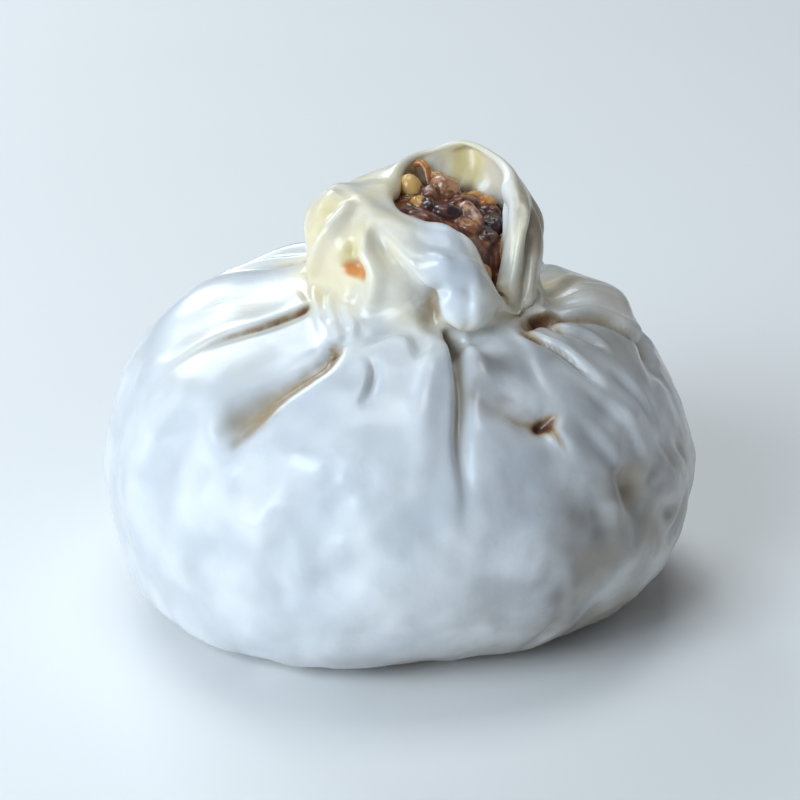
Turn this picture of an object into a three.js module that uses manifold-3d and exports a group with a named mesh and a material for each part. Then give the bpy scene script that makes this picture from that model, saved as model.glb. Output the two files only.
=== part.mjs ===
// A steamed shumai: a bag of thin wheat dough, filled, drawn together at the neck and left open at
// the top, so that its gathered frill stands up round the filling.
//
// Millimetres, +Z up. The origin is on the table, under the middle of the dumpling. -Y is the front,
// where the mouth's slit and the longest folds are. Azimuths are in degrees, 0 along +X and 90 along +Y.
//
// The dough's outer surface is lofted through the rings below, from the middle of the sole up to the
// rim. A place on it is (azimuth, level): level 7 is the seventh ring, 7.5 half way to the next one.
// Folds and dents are laid on that surface by such places.
import * as THREE from "three";
import Module from "manifold-3d";

// ---- driving dimensions ----------------------------------------------------------------------------
const BELLY_RADIUS = 30.0;
const SHOULDER_HEIGHT = 26.6;
const NECK_RADIUS = 11.3;
const NECK_OFFSET = 2.4; // the neck stands a little to the right of the belly's middle
const FRILL_HEIGHT = 45.4; // highest place of the rim, at the back
const SLIT_HEIGHT = 33.7; // lowest place of the rim, at the front right
const DOUGH = 1.4; // thickness of the dough at the rim
const FILLING_GAP = 0.35; // clearance between the dough and the filling
const NECK_GAP = 0.9; // further clearance where the filling passes through the neck
const NECK_DRAW = 0.45; // and how much closer it keeps to the neck's axis there
const SLIT_GAP = 1.0; // and beside the slit, where the dough curls under
const FILLING_HEIGHT = 40.6; // top of the filling in the mouth

// ---- how finely the surfaces are divided -------------------------------------------------------------
const COLUMNS = 88; // round the outside
const INNER_COLUMNS = COLUMNS / 2; // round the inside of the dough and round the filling
const FRONT_CROWDING = 0.3; // columns stand closer together at the front, where the folds are
const FRONT_AZIMUTH = -95;
const ROWS_PER_SPAN = [1, 1, 2, 3, 3, 3, 5, 5, 4, 3, 3, 3, 2, 2];
const FOLD_SAMPLES = 24; // places along each fold

// ---- rings of the outer surface, from the sole up to the rim -------------------------------------------
const swell = (azimuth, spread, radius, height = 0) => ({ azimuth, spread, radius, height });
const NECK_SHIFT = [NECK_OFFSET, 0];

// A round ring has one radius and height, changed by soft swells. A free ring has stations, each
// [azimuth, radius, height], joined by a smooth closed curve.
const RINGS = [
  { name: "sole centre", radius: 0, height: 0, shift: [-2, 0], swells: [] },
  { name: "sole", radius: 11, height: 0, shift: [-2, 0], swells: [] },
  {
    name: "foot", radius: 18, height: 0, shift: [-2, 0],
    swells: [swell(215, 50, 1.0), swell(-75, 50, -1.0), swell(-30, 30, 0.8)],
  },
  {
    name: "heel", radius: 24.6, height: 2.2, shift: [-1.4, 0],
    swells: [swell(205, 55, 1.2), swell(-75, 42, -1.5), swell(-28, 28, 1.1)],
  },
  {
    name: "low belly", radius: 28.6, height: 7.5, shift: [-0.3, 0],
    swells: [swell(190, 50, 0.3), swell(-80, 45, -1.0), swell(-30, 30, 0.7)],
  },
  { name: "equator", radius: BELLY_RADIUS, height: 13.8, shift: [0, 0], swells: [swell(-85, 50, -0.3)] },
  {
    name: "high belly", radius: 28.9, height: 20.6, shift: [0, 0],
    swells: [swell(180, 55, 0.1), swell(5, 40, -0.6), swell(175, 30, -0.3)],
  },
  {
    name: "shoulder", radius: 25, height: SHOULDER_HEIGHT, shift: [0, 0],
    swells: [swell(170, 60, 0.6, 0.2), swell(20, 35, 0.6, 0.7)],
  },
  {
    name: "collar", radius: 18.4, height: 30.4, shift: [0.8, 0.5],
    swells: [swell(165, 60, 0.9, 0.5), swell(25, 50, 0.5, 0.2)],
  },
  {
    name: "neck base", radius: 13, height: 32, shift: [2, 0.2],
    swells: [swell(170, 60, 0.6, 0.8), swell(20, 40, -0.4, -1.5), swell(-39, 25, 0, -0.6)],
  },
  {
    name: "neck", radius: NECK_RADIUS, height: 34, shift: NECK_SHIFT,
    swells: [swell(-36, 20, 0.3, -1.9), swell(-68, 16, 0.9, 0.2), swell(180, 50, 0.3)],
  },
  {
    name: "waist", shift: NECK_SHIFT,
    stations: [
      [180, 11.7, 36.8], [120, 11.2, 37.0], [60, 11.2, 37.2], [20, 11.5, 36.6], [-10, 11.7, 35.4],
      [-39, 11.8, 32.9], [-52, 12.4, 34.2], [-68, 12.9, 35.2], [-84, 12.0, 36.0], [-100, 11.3, 36.4],
      [-120, 11.4, 36.6], [-150, 11.6, 36.7],
    ],
  },
  {
    name: "bulge", shift: NECK_SHIFT,
    stations: [
      [180, 11.7, 39.4], [150, 11.2, 39.6], [120, 10.6, 39.8], [90, 10.6, 40.2], [60, 11.1, 40.5],
      [30, 11.6, 39.7], [0, 11.8, 38.2], [-20, 11.7, 36.4], [-39, 11.5, 33.3], [-50, 11.8, 35.2],
      [-66, 12.1, 37.0], [-80, 11.6, 37.9], [-95, 10.8, 38.4], [-120, 10.8, 38.8], [-150, 11.5, 39.2],
    ],
  },
  {
    name: "brim", shift: NECK_SHIFT,
    stations: [
      [180, 9.5, 42.0], [150, 8.8, 41.8], [120, 8.4, 42.4], [90, 8.6, 43.0], [62, 9.4, 43.6],
      [35, 10.1, 42.6], [10, 10.6, 41.2], [-8, 10.7, 40.0], [-24, 10.7, 37.4], [-32, 10.7, 35.3],
      [-39, 10.9, 33.5], [-47, 10.9, 35.2], [-54, 10.4, 37.2], [-66, 9.7, 38.9], [-90, 8.4, 40.3],
      [-120, 7.8, 41.4], [-150, 8.6, 42.0],
    ],
  },
  {
    name: "rim", shift: NECK_SHIFT,
    stations: [
      [180, 2.6, 42.8], [150, 3.0, 43.0], [120, 4.4, 43.9], [100, 5.6, 44.3], [85, 6.4, 44.5],
      [62, 7.6, FRILL_HEIGHT], [35, 8.4, 44.5], [10, 9.2, 43.4], [-8, 9.3, 42.2], [-24, 9.5, 39.2],
      [-32, 9.8, 36.3], [-39, 10.3, SLIT_HEIGHT], [-47, 10.0, 36.3], [-54, 8.6, 39.0],
      [-66, 7.2, 40.4], [-90, 5.4, 41.6], [-120, 4.2, 42.4], [-150, 3.0, 42.6],
    ],
  },
];
const RIM_LEVEL = RINGS.length - 1;

// Thickness of the dough at each ring. Where it is gathered, several layers lie on each other.
const DOUGH_AT_RING = [1.6, 1.6, 1.6, 1.6, 1.6, 1.6, 2.4, 3.2, 3.0, 2.6, 2.2, 1.9, 1.6, DOUGH, DOUGH];

// ---- folds --------------------------------------------------------------------------------------------
// A fold is a valley along a path of [azimuth, level] places, with a raised lip on one side of it. The
// lip's side is "left" or "right" of somebody who walks along the path on the outside. A negative
// depth is a ridge. fadeIn and fadeOut are the shares of the path over which the fold comes and goes.
const FOLDS = [
  {
    name: "flap", side: "left", depth: 0.9, width: 1.2, lip: 0.3, lipWidth: 1.5, fadeIn: 0.3, fadeOut: 0.3,
    path: [
      [-128, 12.9], [-120, 12.6], [-112, 12.35], [-105, 12.0], [-98, 11.4], [-93, 10.9], [-87, 10.4],
      [-82, 9.6], [-76, 9.0], [-68, 8.8], [-59, 9.1], [-54, 9.9],
    ],
  },
  {
    name: "front valley", side: "right", depth: 1.5, width: 1.2, lip: 0.4, lipWidth: 1.6, fadeIn: 0.08,
    fadeOut: 0.6, path: [[-77, 9.1], [-76, 8.6], [-76, 7.75], [-78, 6.9], [-78, 6.2], [-79, 5.5]],
  },
  {
    name: "front left roll", side: "left", depth: -0.7, width: 1.3, fadeIn: 0.3, fadeOut: 0.6,
    path: [[-84, 8.8], [-84, 8.0], [-85, 7.2], [-87, 6.4]],
  },
  {
    name: "front right roll", side: "left", depth: -0.6, width: 1.3, fadeIn: 0.3, fadeOut: 0.6,
    path: [[-70, 8.5], [-69, 7.8], [-66, 7.1], [-64, 6.2]],
  },
  {
    name: "arch", side: "right", depth: 0.6, width: 1.0, lip: 0.3, lipWidth: 1.6, fadeIn: 0.3, fadeOut: 0.4,
    path: [[-109, 8.3], [-106, 8.8], [-100, 9.05], [-93, 8.9], [-88, 8.4], [-86, 7.8]],
  },
  {
    name: "left pleat", side: "right", depth: 0.9, width: 2.4, lip: 1.1, lipWidth: 2.6, fadeIn: 0.1,
    fadeOut: 0.7,
    path: [[-144, 9.3], [-144, 8.7], [-145, 8.1], [-149, 7.7], [-152, 7.4], [-155, 6.9], [-157, 6.4]],
  },
  {
    name: "left pocket", side: "left", depth: 2.2, width: 2.4, lip: 0.3, lipWidth: 2.0, fadeIn: 0.3,
    fadeOut: 0.22,
    path: [
      [-122, 9.0], [-116, 8.5], [-112, 8.0], [-115, 7.72], [-119, 7.45], [-123, 7.15], [-127, 6.8],
      [-131, 6.45],
    ],
  },
  {
    name: "hook", side: "left", depth: 0.5, width: 0.9, lip: 0.35, lipWidth: 1.5, fadeIn: 0.3, fadeOut: 0.5,
    path: [[-109, 8.6], [-102, 8.2], [-99, 7.85], [-100, 7.55], [-102, 7.2]],
  },
  {
    name: "right pocket", side: "left", depth: 1.2, width: 1.3, lip: 0.6, lipWidth: 2.4, fadeIn: 0.5,
    fadeOut: 0.12, path: [[-70, 8.3], [-70, 7.8], [-68, 7.45], [-65, 7.15], [-60, 7.0], [-55, 6.9]],
  },
  {
    name: "lower right line", side: "left", depth: 0.9, width: 1.0, lip: 0.5, lipWidth: 1.6, fadeIn: 0.1,
    fadeOut: 0.6, path: [[-46, 8.6], [-42, 7.95], [-40, 7.55], [-38, 7.2], [-37, 6.8], [-38, 6.3]],
  },
  {
    name: "upper right line", side: "left", depth: 0.7, width: 0.9, lip: 0.3, lipWidth: 1.3, fadeIn: 0.2,
    fadeOut: 0.5, path: [[-38, 8.5], [-33, 8.1], [-28, 7.8], [-24, 7.35]],
  },
  {
    name: "right pleat", side: "left", depth: 1.2, width: 2.2, lip: 1.1, lipWidth: 2.6, fadeIn: 0.12,
    fadeOut: 0.4,
    path: [[-35, 9.3], [-28, 8.75], [-17, 8.2], [-12, 7.8], [-10, 7.4], [-9, 7.0], [-8, 6.5]],
  },
  {
    name: "left frill ridge", side: "left", depth: -1.1, width: 1.2, fadeIn: 0.2, fadeOut: 0.4,
    path: [[-165, 13.7], [-150, 13.2], [-141, 12.75], [-138, 11.8], [-146, 10.8], [-152, 10.0]],
  },
  {
    name: "frill loop", side: "left", depth: -0.9, width: 0.9, fadeIn: 0.2, fadeOut: 0.4,
    path: [[-133, 12.9], [-125, 12.4], [-118, 11.6], [-115, 10.9], [-117, 10.1], [-124, 9.4]],
  },
  {
    name: "left neck ridge", side: "left", depth: -0.6, width: 1.0, fadeIn: 0.4, fadeOut: 0.3,
    path: [[-148, 10.2], [-144, 9.3], [-132, 8.7], [-124, 8.4]],
  },
  {
    name: "left small pleat", side: "right", depth: 0.5, width: 1.2, lip: 0.5, lipWidth: 1.4, fadeIn: 0.2,
    fadeOut: 0.6, path: [[-176, 9.2], [-172, 8.6], [-172, 8.0], [-174, 7.4]],
  },
  {
    name: "right neck fold", side: "left", depth: 0.5, width: 0.9, lip: 0.3, lipWidth: 1.4, fadeIn: 0.4,
    fadeOut: 0.3, path: [[8, 13.4], [2, 12.0], [-4, 10.6], [-14, 9.6]],
  },
  {
    name: "back pleat 1", side: "left", depth: 0.9, width: 2.0, lip: 0.8, lipWidth: 2.4, fadeIn: 0.1,
    fadeOut: 0.6, path: [[22, 9.4], [27, 8.6], [29, 7.9], [33, 7.3], [36, 6.6]],
  },
  {
    name: "back pleat 2", side: "left", depth: 1.0, width: 1.8, lip: 0.8, lipWidth: 2.2, fadeIn: 0.1,
    fadeOut: 0.6, path: [[55, 9.5], [58, 8.7], [63, 7.9], [64, 7.2]],
  },
  {
    name: "back pleat 3", side: "right", depth: 1.1, width: 2.1, lip: 1.0, lipWidth: 2.6, fadeIn: 0.1,
    fadeOut: 0.6, path: [[84, 9.6], [83, 8.8], [88, 8.0], [94, 7.3], [96, 6.5]],
  },
  {
    name: "back pleat 4", side: "left", depth: 0.9, width: 1.7, lip: 0.7, lipWidth: 2.2, fadeIn: 0.1,
    fadeOut: 0.6, path: [[112, 9.4], [116, 8.7], [117, 8.0], [121, 7.4]],
  },
  {
    name: "back pleat 5", side: "right", depth: 1.0, width: 2.0, lip: 0.9, lipWidth: 2.4, fadeIn: 0.1,
    fadeOut: 0.6, path: [[147, 9.5], [146, 8.7], [151, 7.9], [155, 7.2], [154, 6.6]],
  },
  {
    name: "back neck fold 1", side: "left", depth: 0.7, width: 1.0, lip: 0.4, lipWidth: 1.5, fadeIn: 0.3,
    fadeOut: 0.2, path: [[70, 13.2], [64, 12.0], [62, 10.8], [56, 9.6]],
  },
  {
    name: "back neck fold 2", side: "right", depth: 0.7, width: 1.0, lip: 0.4, lipWidth: 1.5, fadeIn: 0.3,
    fadeOut: 0.2, path: [[108, 13.0], [104, 11.8], [96, 10.8], [86, 9.7]],
  },
  {
    name: "back neck fold 3", side: "left", depth: 0.7, width: 1.0, lip: 0.4, lipWidth: 1.5, fadeIn: 0.3,
    fadeOut: 0.2, path: [[140, 12.8], [136, 11.6], [140, 10.6], [146, 9.6]],
  },
  {
    name: "back neck fold 4", side: "right", depth: 0.6, width: 0.9, lip: 0.4, lipWidth: 1.4, fadeIn: 0.3,
    fadeOut: 0.2, path: [[172, 12.6], [176, 11.6], [172, 10.6], [178, 9.6]],
  },
];

// A dent is a soft round hollow, across mm wide round the dumpling and along mm up it. A negative
// depth is a bump.
const DENTS = [
  { name: "right corner", place: [-38, 8.7], depth: 1.5, across: 1.7, along: 1.1 },
  { name: "flap hump", place: [-79, 12.4], depth: -0.7, across: 2.0, along: 1.3 },
  { name: "flap dent", place: [-72, 11.7], depth: 0.8, across: 1.6, along: 0.9 },
  { name: "upper dip", place: [-159, 12.9], depth: 0.7, across: 1.1, along: 1.4 },
  { name: "lower dip", place: [-157, 11.8], depth: 0.6, across: 1.1, along: 1.7 },
  { name: "tear", place: [-57, 6.98], depth: 0.8, across: 1.6, along: 1.1 },
  { name: "front bump", place: [-105, 6.6], depth: -0.5, across: 4.5, along: 3.0 },
  { name: "left bump", place: [-140, 7.2], depth: -0.4, across: 4.0, along: 3.0 },
  { name: "right dent 1", place: [-48, 5.7], depth: 0.8, across: 1.8, along: 2.2 },
  { name: "right dent 2", place: [-26, 5.3], depth: 0.7, across: 1.6, along: 2.0 },
  { name: "right dent 3", place: [-35, 4.6], depth: 0.6, across: 2.0, along: 1.6 },
  { name: "right bump 1", place: [-36, 5.9], depth: -0.5, across: 2.4, along: 2.2 },
  { name: "right bump 2", place: [-18, 5.9], depth: -0.4, across: 2.4, along: 2.2 },
];

// The gap between two folds of the frill, where the filling can be seen: a three-sided hole.
const FRILL_GAP = { place: [-127, 11.45], size: 1.5, length: 3.4 };

// ---- colours ------------------------------------------------------------------------------------------
const DOUGH_COLOUR = 0xe6ebf0;
const FILLING_COLOUR = 0x6e4330;

// ---- small mathematics ----------------------------------------------------------------------------------
const radians = (degrees) => (degrees * Math.PI) / 180;
const smooth = (share) => {
  const t = Math.min(Math.max(share, 0), 1);
  return t * t * (3 - 2 * t);
};
const turnBetween = (from, to) => ((((to - from) % 360) + 540) % 360) - 180;
const bell = (azimuth, centre, spread) => Math.exp(-((turnBetween(centre, azimuth) / spread) ** 2));

/** Cubic between two values with given slopes, the share t along a span of length h. */
function hermite(a, slopeA, b, slopeB, t, h) {
  const t2 = t * t;
  const t3 = t2 * t;
  return (
    (2 * t3 - 3 * t2 + 1) * a + (t3 - 2 * t2 + t) * h * slopeA + (3 * t2 - 2 * t3) * b + (t3 - t2) * h * slopeB
  );
}

/** A Catmull-Rom curve through [azimuth, level] places, at a share of its length in spans. */
function alongPath(path, share) {
  const spans = path.length - 1;
  const span = Math.min(Math.floor(share * spans), spans - 1);
  const t = share * spans - span;
  const pick = (index, axis) => {
    if (index < 0) return 2 * path[0][axis] - path[1][axis];
    if (index > spans) return 2 * path[spans][axis] - path[spans - 1][axis];
    return path[index][axis];
  };
  return [0, 1].map((axis) => {
    const [p0, p1, p2, p3] = [span - 1, span, span + 1, span + 2].map((index) => pick(index, axis));
    return hermite(p1, (p2 - p0) / 2, p2, (p3 - p1) / 2, t, 1);
  });
}

// ---- the bare outer surface -----------------------------------------------------------------------------
/** Radius and height of a free ring at an azimuth, on a closed curve that doesn't overshoot. */
function freeRing(stations, azimuth) {
  const sorted = stations.map(([a, r, z]) => [((a % 360) + 360) % 360, r, z]).sort((p, q) => p[0] - q[0]);
  const count = sorted.length;
  const here = ((azimuth % 360) + 360) % 360;
  let index = sorted.findLastIndex((station) => station[0] <= here);
  if (index < 0) index = count - 1;
  const at = (i) => sorted[(i + 2 * count) % count];
  const gap = (i) => (((at(i + 1)[0] - at(i)[0]) % 360) + 360) % 360;
  const slope = (i, axis) => (at(i + 1)[axis] - at(i)[axis]) / gap(i);
  const tangent = (i, axis) => {
    const before = slope(i - 1, axis);
    const after = slope(i, axis);
    const mean = (before * gap(i) + after * gap(i - 1)) / (gap(i) + gap(i - 1));
    return before * after <= 0 ? 0.35 * mean : mean;
  };
  const t = ((((here - at(index)[0]) % 360) + 360) % 360) / gap(index);
  return [1, 2].map((axis) =>
    hermite(at(index)[axis], tangent(index, axis), at(index + 1)[axis], tangent(index + 1, axis), t, gap(index)));
}

/** The point of one ring at an azimuth. */
function ringPoint(ring, azimuth) {
  let [radius, height] = ring.stations ? freeRing(ring.stations, azimuth) : [ring.radius, ring.height];
  for (const s of ring.swells ?? []) {
    const share = bell(azimuth, s.azimuth, s.spread);
    radius += s.radius * share;
    height += s.height * share;
  }
  const a = radians(azimuth);
  return new THREE.Vector3(ring.shift[0] + radius * Math.cos(a), ring.shift[1] + radius * Math.sin(a), height);
}

/** Lengths of the spans between rings, which set how fast the surface runs through each of them. */
const SPAN_LENGTHS = RINGS.slice(1).map((ring, k) => {
  let total = 0;
  const samples = 24;
  for (let i = 0; i < samples; i += 1) {
    const azimuth = (360 * i) / samples;
    total += ringPoint(ring, azimuth).distanceTo(ringPoint(RINGS[k], azimuth));
  }
  return (total / samples) ** 0.75;
});

/** The point of the bare outer surface at an azimuth and level. */
function surfacePoint(azimuth, level) {
  const span = Math.min(Math.floor(level), RIM_LEVEL - 1);
  const t = level - span;
  const points = [span - 1, span, span + 1, span + 2].map((k) =>
    k >= 0 && k <= RIM_LEVEL ? ringPoint(RINGS[k], azimuth) : null);
  const slope = (k, axis) =>
    (points[k + 1].getComponent(axis) - points[k].getComponent(axis)) / SPAN_LENGTHS[span - 1 + k];
  const tangent = (k, axis) => {
    if (!points[k - 1]) return slope(k, axis);
    if (!points[k + 1]) return slope(k - 1, axis);
    const before = SPAN_LENGTHS[span - 2 + k];
    const after = SPAN_LENGTHS[span - 1 + k];
    return (slope(k - 1, axis) * after + slope(k, axis) * before) / (before + after);
  };
  const [x, y, z] = [0, 1, 2].map((axis) =>
    hermite(points[1].getComponent(axis), tangent(1, axis), points[2].getComponent(axis), tangent(2, axis), t,
      SPAN_LENGTHS[span]));
  return new THREE.Vector3(x, y, Math.max(z, 0));
}

/** The outward normal of the bare outer surface. */
function surfaceNormal(azimuth, level) {
  if (level < 0.01) return new THREE.Vector3(0, 0, -1);
  const low = Math.max(level - 0.05, 0);
  const high = Math.min(level + 0.05, RIM_LEVEL);
  const around = surfacePoint(azimuth + 1, level).sub(surfacePoint(azimuth - 1, level));
  const up = surfacePoint(azimuth, high).sub(surfacePoint(azimuth, low));
  return around.cross(up).normalize();
}

// ---- folds and dents laid on it -------------------------------------------------------------------------
/** Places along a fold, each with the normal there and the direction in which its lip lies. */
function foldTrack(fold) {
  const track = [];
  for (let i = 0; i <= FOLD_SAMPLES; i += 1) {
    const [azimuth, level] = alongPath(fold.path, i / FOLD_SAMPLES);
    track.push({ point: surfacePoint(azimuth, level), normal: surfaceNormal(azimuth, level) });
  }
  track.forEach((place, i) => {
    const next = track[Math.min(i + 1, FOLD_SAMPLES)].point;
    const previous = track[Math.max(i - 1, 0)].point;
    const onward = next.clone().sub(previous);
    place.lipward = place.normal.clone().cross(onward).normalize();
    if (fold.side === "right") place.lipward.negate();
  });
  return track;
}
const TRACKS = FOLDS.map(foldTrack);

/** How far one fold lifts a point of the surface. */
function foldLift(fold, track, point, normal) {
  let best = null;
  for (let i = 0; i < FOLD_SAMPLES; i += 1) {
    const along = track[i + 1].point.clone().sub(track[i].point);
    const t = THREE.MathUtils.clamp(point.clone().sub(track[i].point).dot(along) / along.lengthSq(), 0, 1);
    const offset = point.clone().sub(track[i].point).addScaledVector(along, -t);
    const distance = offset.length();
    if (!best || distance < best.distance) {
      best = { distance, offset, place: track[i], share: (i + t) / FOLD_SAMPLES };
    }
  }
  const reach = 3 * Math.max(fold.width, fold.lipWidth ?? 0);
  if (best.distance > reach || best.place.normal.dot(normal) <= 0) return 0;
  const strength = smooth(best.share / fold.fadeIn) * smooth((1 - best.share) / fold.fadeOut);
  const lipward = best.offset.dot(best.place.lipward) >= 0;
  let lift = -fold.depth * Math.exp(-((best.distance / fold.width) ** 2));
  if (lipward && fold.lip) {
    lift += fold.lip * smooth(best.distance / (0.8 * fold.width)) * Math.exp(-((best.distance / fold.lipWidth) ** 2));
  }
  return strength * lift;
}

/** How far one dent lifts a point of the surface. */
function dentLift(dent, point, normal) {
  const centre = surfacePoint(...dent.place);
  const out = surfaceNormal(...dent.place);
  if (out.dot(normal) <= 0) return 0;
  const round = surfacePoint(dent.place[0] + 1, dent.place[1]).sub(centre).normalize();
  const up = out.clone().cross(round);
  const offset = point.clone().sub(centre);
  const reach = 2 * Math.max(dent.across, dent.along);
  const square =
    (offset.dot(round) / dent.across) ** 2 + (offset.dot(up) / dent.along) ** 2 + (offset.dot(out) / reach) ** 2;
  return -dent.depth * Math.exp(-square);
}

/** The finished outer surface of the dough, with every fold and dent. */
function doughPoint(azimuth, level) {
  const point = surfacePoint(azimuth, level);
  if (point.z < 1e-6) return point;
  const normal = surfaceNormal(azimuth, level);
  let lift = 0;
  FOLDS.forEach((fold, i) => { lift += foldLift(fold, TRACKS[i], point, normal); });
  for (const dent of DENTS) lift += dentLift(dent, point, normal);
  point.addScaledVector(normal, lift);
  point.z = Math.max(point.z, 0);
  return point;
}

/** Thickness of the dough at a level. */
function doughThickness(level) {
  const ring = Math.min(Math.floor(level), RIM_LEVEL - 1);
  return THREE.MathUtils.lerp(DOUGH_AT_RING[ring], DOUGH_AT_RING[ring + 1], level - ring);
}

/** A point inside the outer surface, at the dough's thickness and a further clearance. */
function insidePoint(azimuth, level, clearance) {
  const depth = doughThickness(level) + clearance;
  return surfacePoint(azimuth, level).addScaledVector(surfaceNormal(azimuth, level), -depth);
}

// ---- closed bodies out of rings ---------------------------------------------------------------------------
/** Azimuth of a column: the columns crowd together at the front. */
function columnAzimuth(column, columns) {
  const even = (360 * column) / columns;
  const crowd = FRONT_CROWDING * Math.sin(radians(even - FRONT_AZIMUTH));
  return even - (crowd * 180) / Math.PI;
}

const ringOf = (columns, place) =>
  Array.from({ length: columns }, (_, column) => place(columnAzimuth(column, columns), column));

/** A closed skin from rings in order, ended by one point at each side. A ring may have half as many points. */
function closedSkin(first, rings, last) {
  const positions = [];
  const faces = [];
  const add = (point) => positions.push(point.x, point.y, point.z) / 3 - 1;
  const firstIndex = add(first);
  const indices = rings.map((ring) => ring.map(add));
  const lastIndex = add(last);
  const wrap = (ring, i) => ring[(i + ring.length) % ring.length];
  indices[0].forEach((corner, i) => faces.push(firstIndex, wrap(indices[0], i + 1), corner));
  for (let k = 0; k + 1 < indices.length; k += 1) {
    const [low, high] = [indices[k], indices[k + 1]];
    if (low.length === high.length) {
      low.forEach((corner, i) => {
        faces.push(corner, wrap(low, i + 1), wrap(high, i + 1), corner, wrap(high, i + 1), high[i]);
      });
    } else {
      high.forEach((corner, i) => {
        faces.push(low[2 * i], low[2 * i + 1], corner);
        faces.push(low[2 * i + 1], wrap(high, i + 1), corner);
        faces.push(low[2 * i + 1], wrap(low, 2 * i + 2), wrap(high, i + 1));
      });
    }
  }
  const top = indices[indices.length - 1];
  top.forEach((corner, i) => faces.push(lastIndex, corner, wrap(top, i + 1)));
  const geometry = new THREE.BufferGeometry();
  geometry.setAttribute("position", new THREE.Float32BufferAttribute(positions, 3));
  geometry.setIndex(faces);
  return geometry;
}

// ---- the dough -----------------------------------------------------------------------------------------
const OUTER_LEVELS = ROWS_PER_SPAN.flatMap((rows, span) =>
  Array.from({ length: rows }, (_, row) => span + row / rows)).slice(1);
const INNER_LEVELS = [13.3, 12.5, 11.5, 10.5, 9.5, 8.5, 7.5, 6.5, 5.5, 4.5, 3.5, 2.4, 1];

/** The rounded edge of the rim, from the outside over to the inside. */
function rimRing(share) {
  return ringOf(COLUMNS, (azimuth) => {
    const edge = doughPoint(azimuth, RIM_LEVEL);
    const out = surfaceNormal(azimuth, RIM_LEVEL);
    const over = edge.clone().sub(doughPoint(azimuth, RIM_LEVEL - 0.3));
    over.addScaledVector(out, -over.dot(out)).normalize();
    const turn = Math.PI * share;
    return edge
      .addScaledVector(over, (DOUGH / 2) * Math.sin(turn))
      .addScaledVector(out, (-DOUGH / 2) * (1 - Math.cos(turn)));
  });
}

function makeDough() {
  const rings = OUTER_LEVELS.map((level) => ringOf(COLUMNS, (azimuth) => doughPoint(azimuth, level)));
  rings.push(ringOf(COLUMNS, (azimuth) => doughPoint(azimuth, RIM_LEVEL)), rimRing(0.5), rimRing(1));
  for (const level of INNER_LEVELS) {
    rings.push(ringOf(INNER_COLUMNS, (azimuth) => insidePoint(azimuth, level, 0)));
  }
  return closedSkin(surfacePoint(0, 0), rings, insidePoint(0, 0, 0));
}

// ---- the filling ---------------------------------------------------------------------------------------
const SLIT_AZIMUTH = -36;

/** Height of the filling's top: it falls away towards the slit, and steeply in front of it. */
function fillingTop(x, y) {
  const slit = radians(SLIT_AZIMUTH);
  const towardsSlit = (x - NECK_OFFSET) * Math.cos(slit) + y * Math.sin(slit);
  return FILLING_HEIGHT - 0.035 * Math.max(towardsSlit + 3, 0) ** 2 - 0.9 * Math.max(towardsSlit - 7, 0);
}

/** Clearance between the dough and the filling at a place. */
function fillingClearance(azimuth, level) {
  const intoNeck = smooth((level - 7) / 1.3);
  return FILLING_GAP + intoNeck * (NECK_GAP + SLIT_GAP * bell(azimuth, SLIT_AZIMUTH - 12, 32));
}

/** Level at which the filling's side meets its top. */
function fillingLevel(azimuth) {
  let low = 9;
  let high = 13.2;
  for (let i = 0; i < 20; i += 1) {
    const middle = (low + high) / 2;
    const point = insidePoint(azimuth, middle, fillingClearance(azimuth, middle));
    if (point.z < fillingTop(point.x, point.y)) low = middle;
    else high = middle;
  }
  return low;
}

/** A point moved level towards the neck's axis. */
function drawnIn(point, distance) {
  const out = new THREE.Vector3(point.x - NECK_OFFSET, point.y, 0).normalize();
  return point.addScaledVector(out, -distance);
}

function makeFilling() {
  const bodyLevels = [...INNER_LEVELS].reverse().filter((level) => level < 9);
  const neckShares = [0.25, 0.5, 0.75, 1];
  const lastBodyLevel = bodyLevels[bodyLevels.length - 1];
  const rings = bodyLevels.map((level) =>
    ringOf(INNER_COLUMNS, (azimuth) => insidePoint(azimuth, level, fillingClearance(azimuth, level))));
  for (const share of neckShares) {
    rings.push(ringOf(INNER_COLUMNS, (azimuth) => {
      const level = THREE.MathUtils.lerp(lastBodyLevel, fillingLevel(azimuth), share);
      return drawnIn(insidePoint(azimuth, level, fillingClearance(azimuth, level)), NECK_DRAW);
    }));
  }
  const edge = rings[rings.length - 1];
  for (const share of [0.7, 0.4]) {
    rings.push(edge.map((corner) => {
      const x = THREE.MathUtils.lerp(NECK_OFFSET, corner.x, share);
      const y = corner.y * share;
      return new THREE.Vector3(x, y, fillingTop(x, y));
    }));
  }
  const middle = new THREE.Vector3(NECK_OFFSET, 0, fillingTop(NECK_OFFSET, 0));
  return closedSkin(insidePoint(0, 0, FILLING_GAP), rings, middle);
}

// ---- the hole between the frill's folds -----------------------------------------------------------------
const wasm = await Module();
wasm.setup();

function solidOf(geometry) {
  const vertProperties = Float32Array.from(geometry.getAttribute("position").array);
  const triVerts = Uint32Array.from(geometry.getIndex().array);
  return new wasm.Manifold(new wasm.Mesh({ numProp: 3, vertProperties, triVerts }));
}

function geometryOf(solid) {
  const mesh = solid.getMesh();
  const geometry = new THREE.BufferGeometry();
  geometry.setAttribute("position", new THREE.BufferAttribute(mesh.vertProperties, mesh.numProp));
  geometry.setIndex(new THREE.BufferAttribute(mesh.triVerts, 1));
  return geometry;
}

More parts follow.
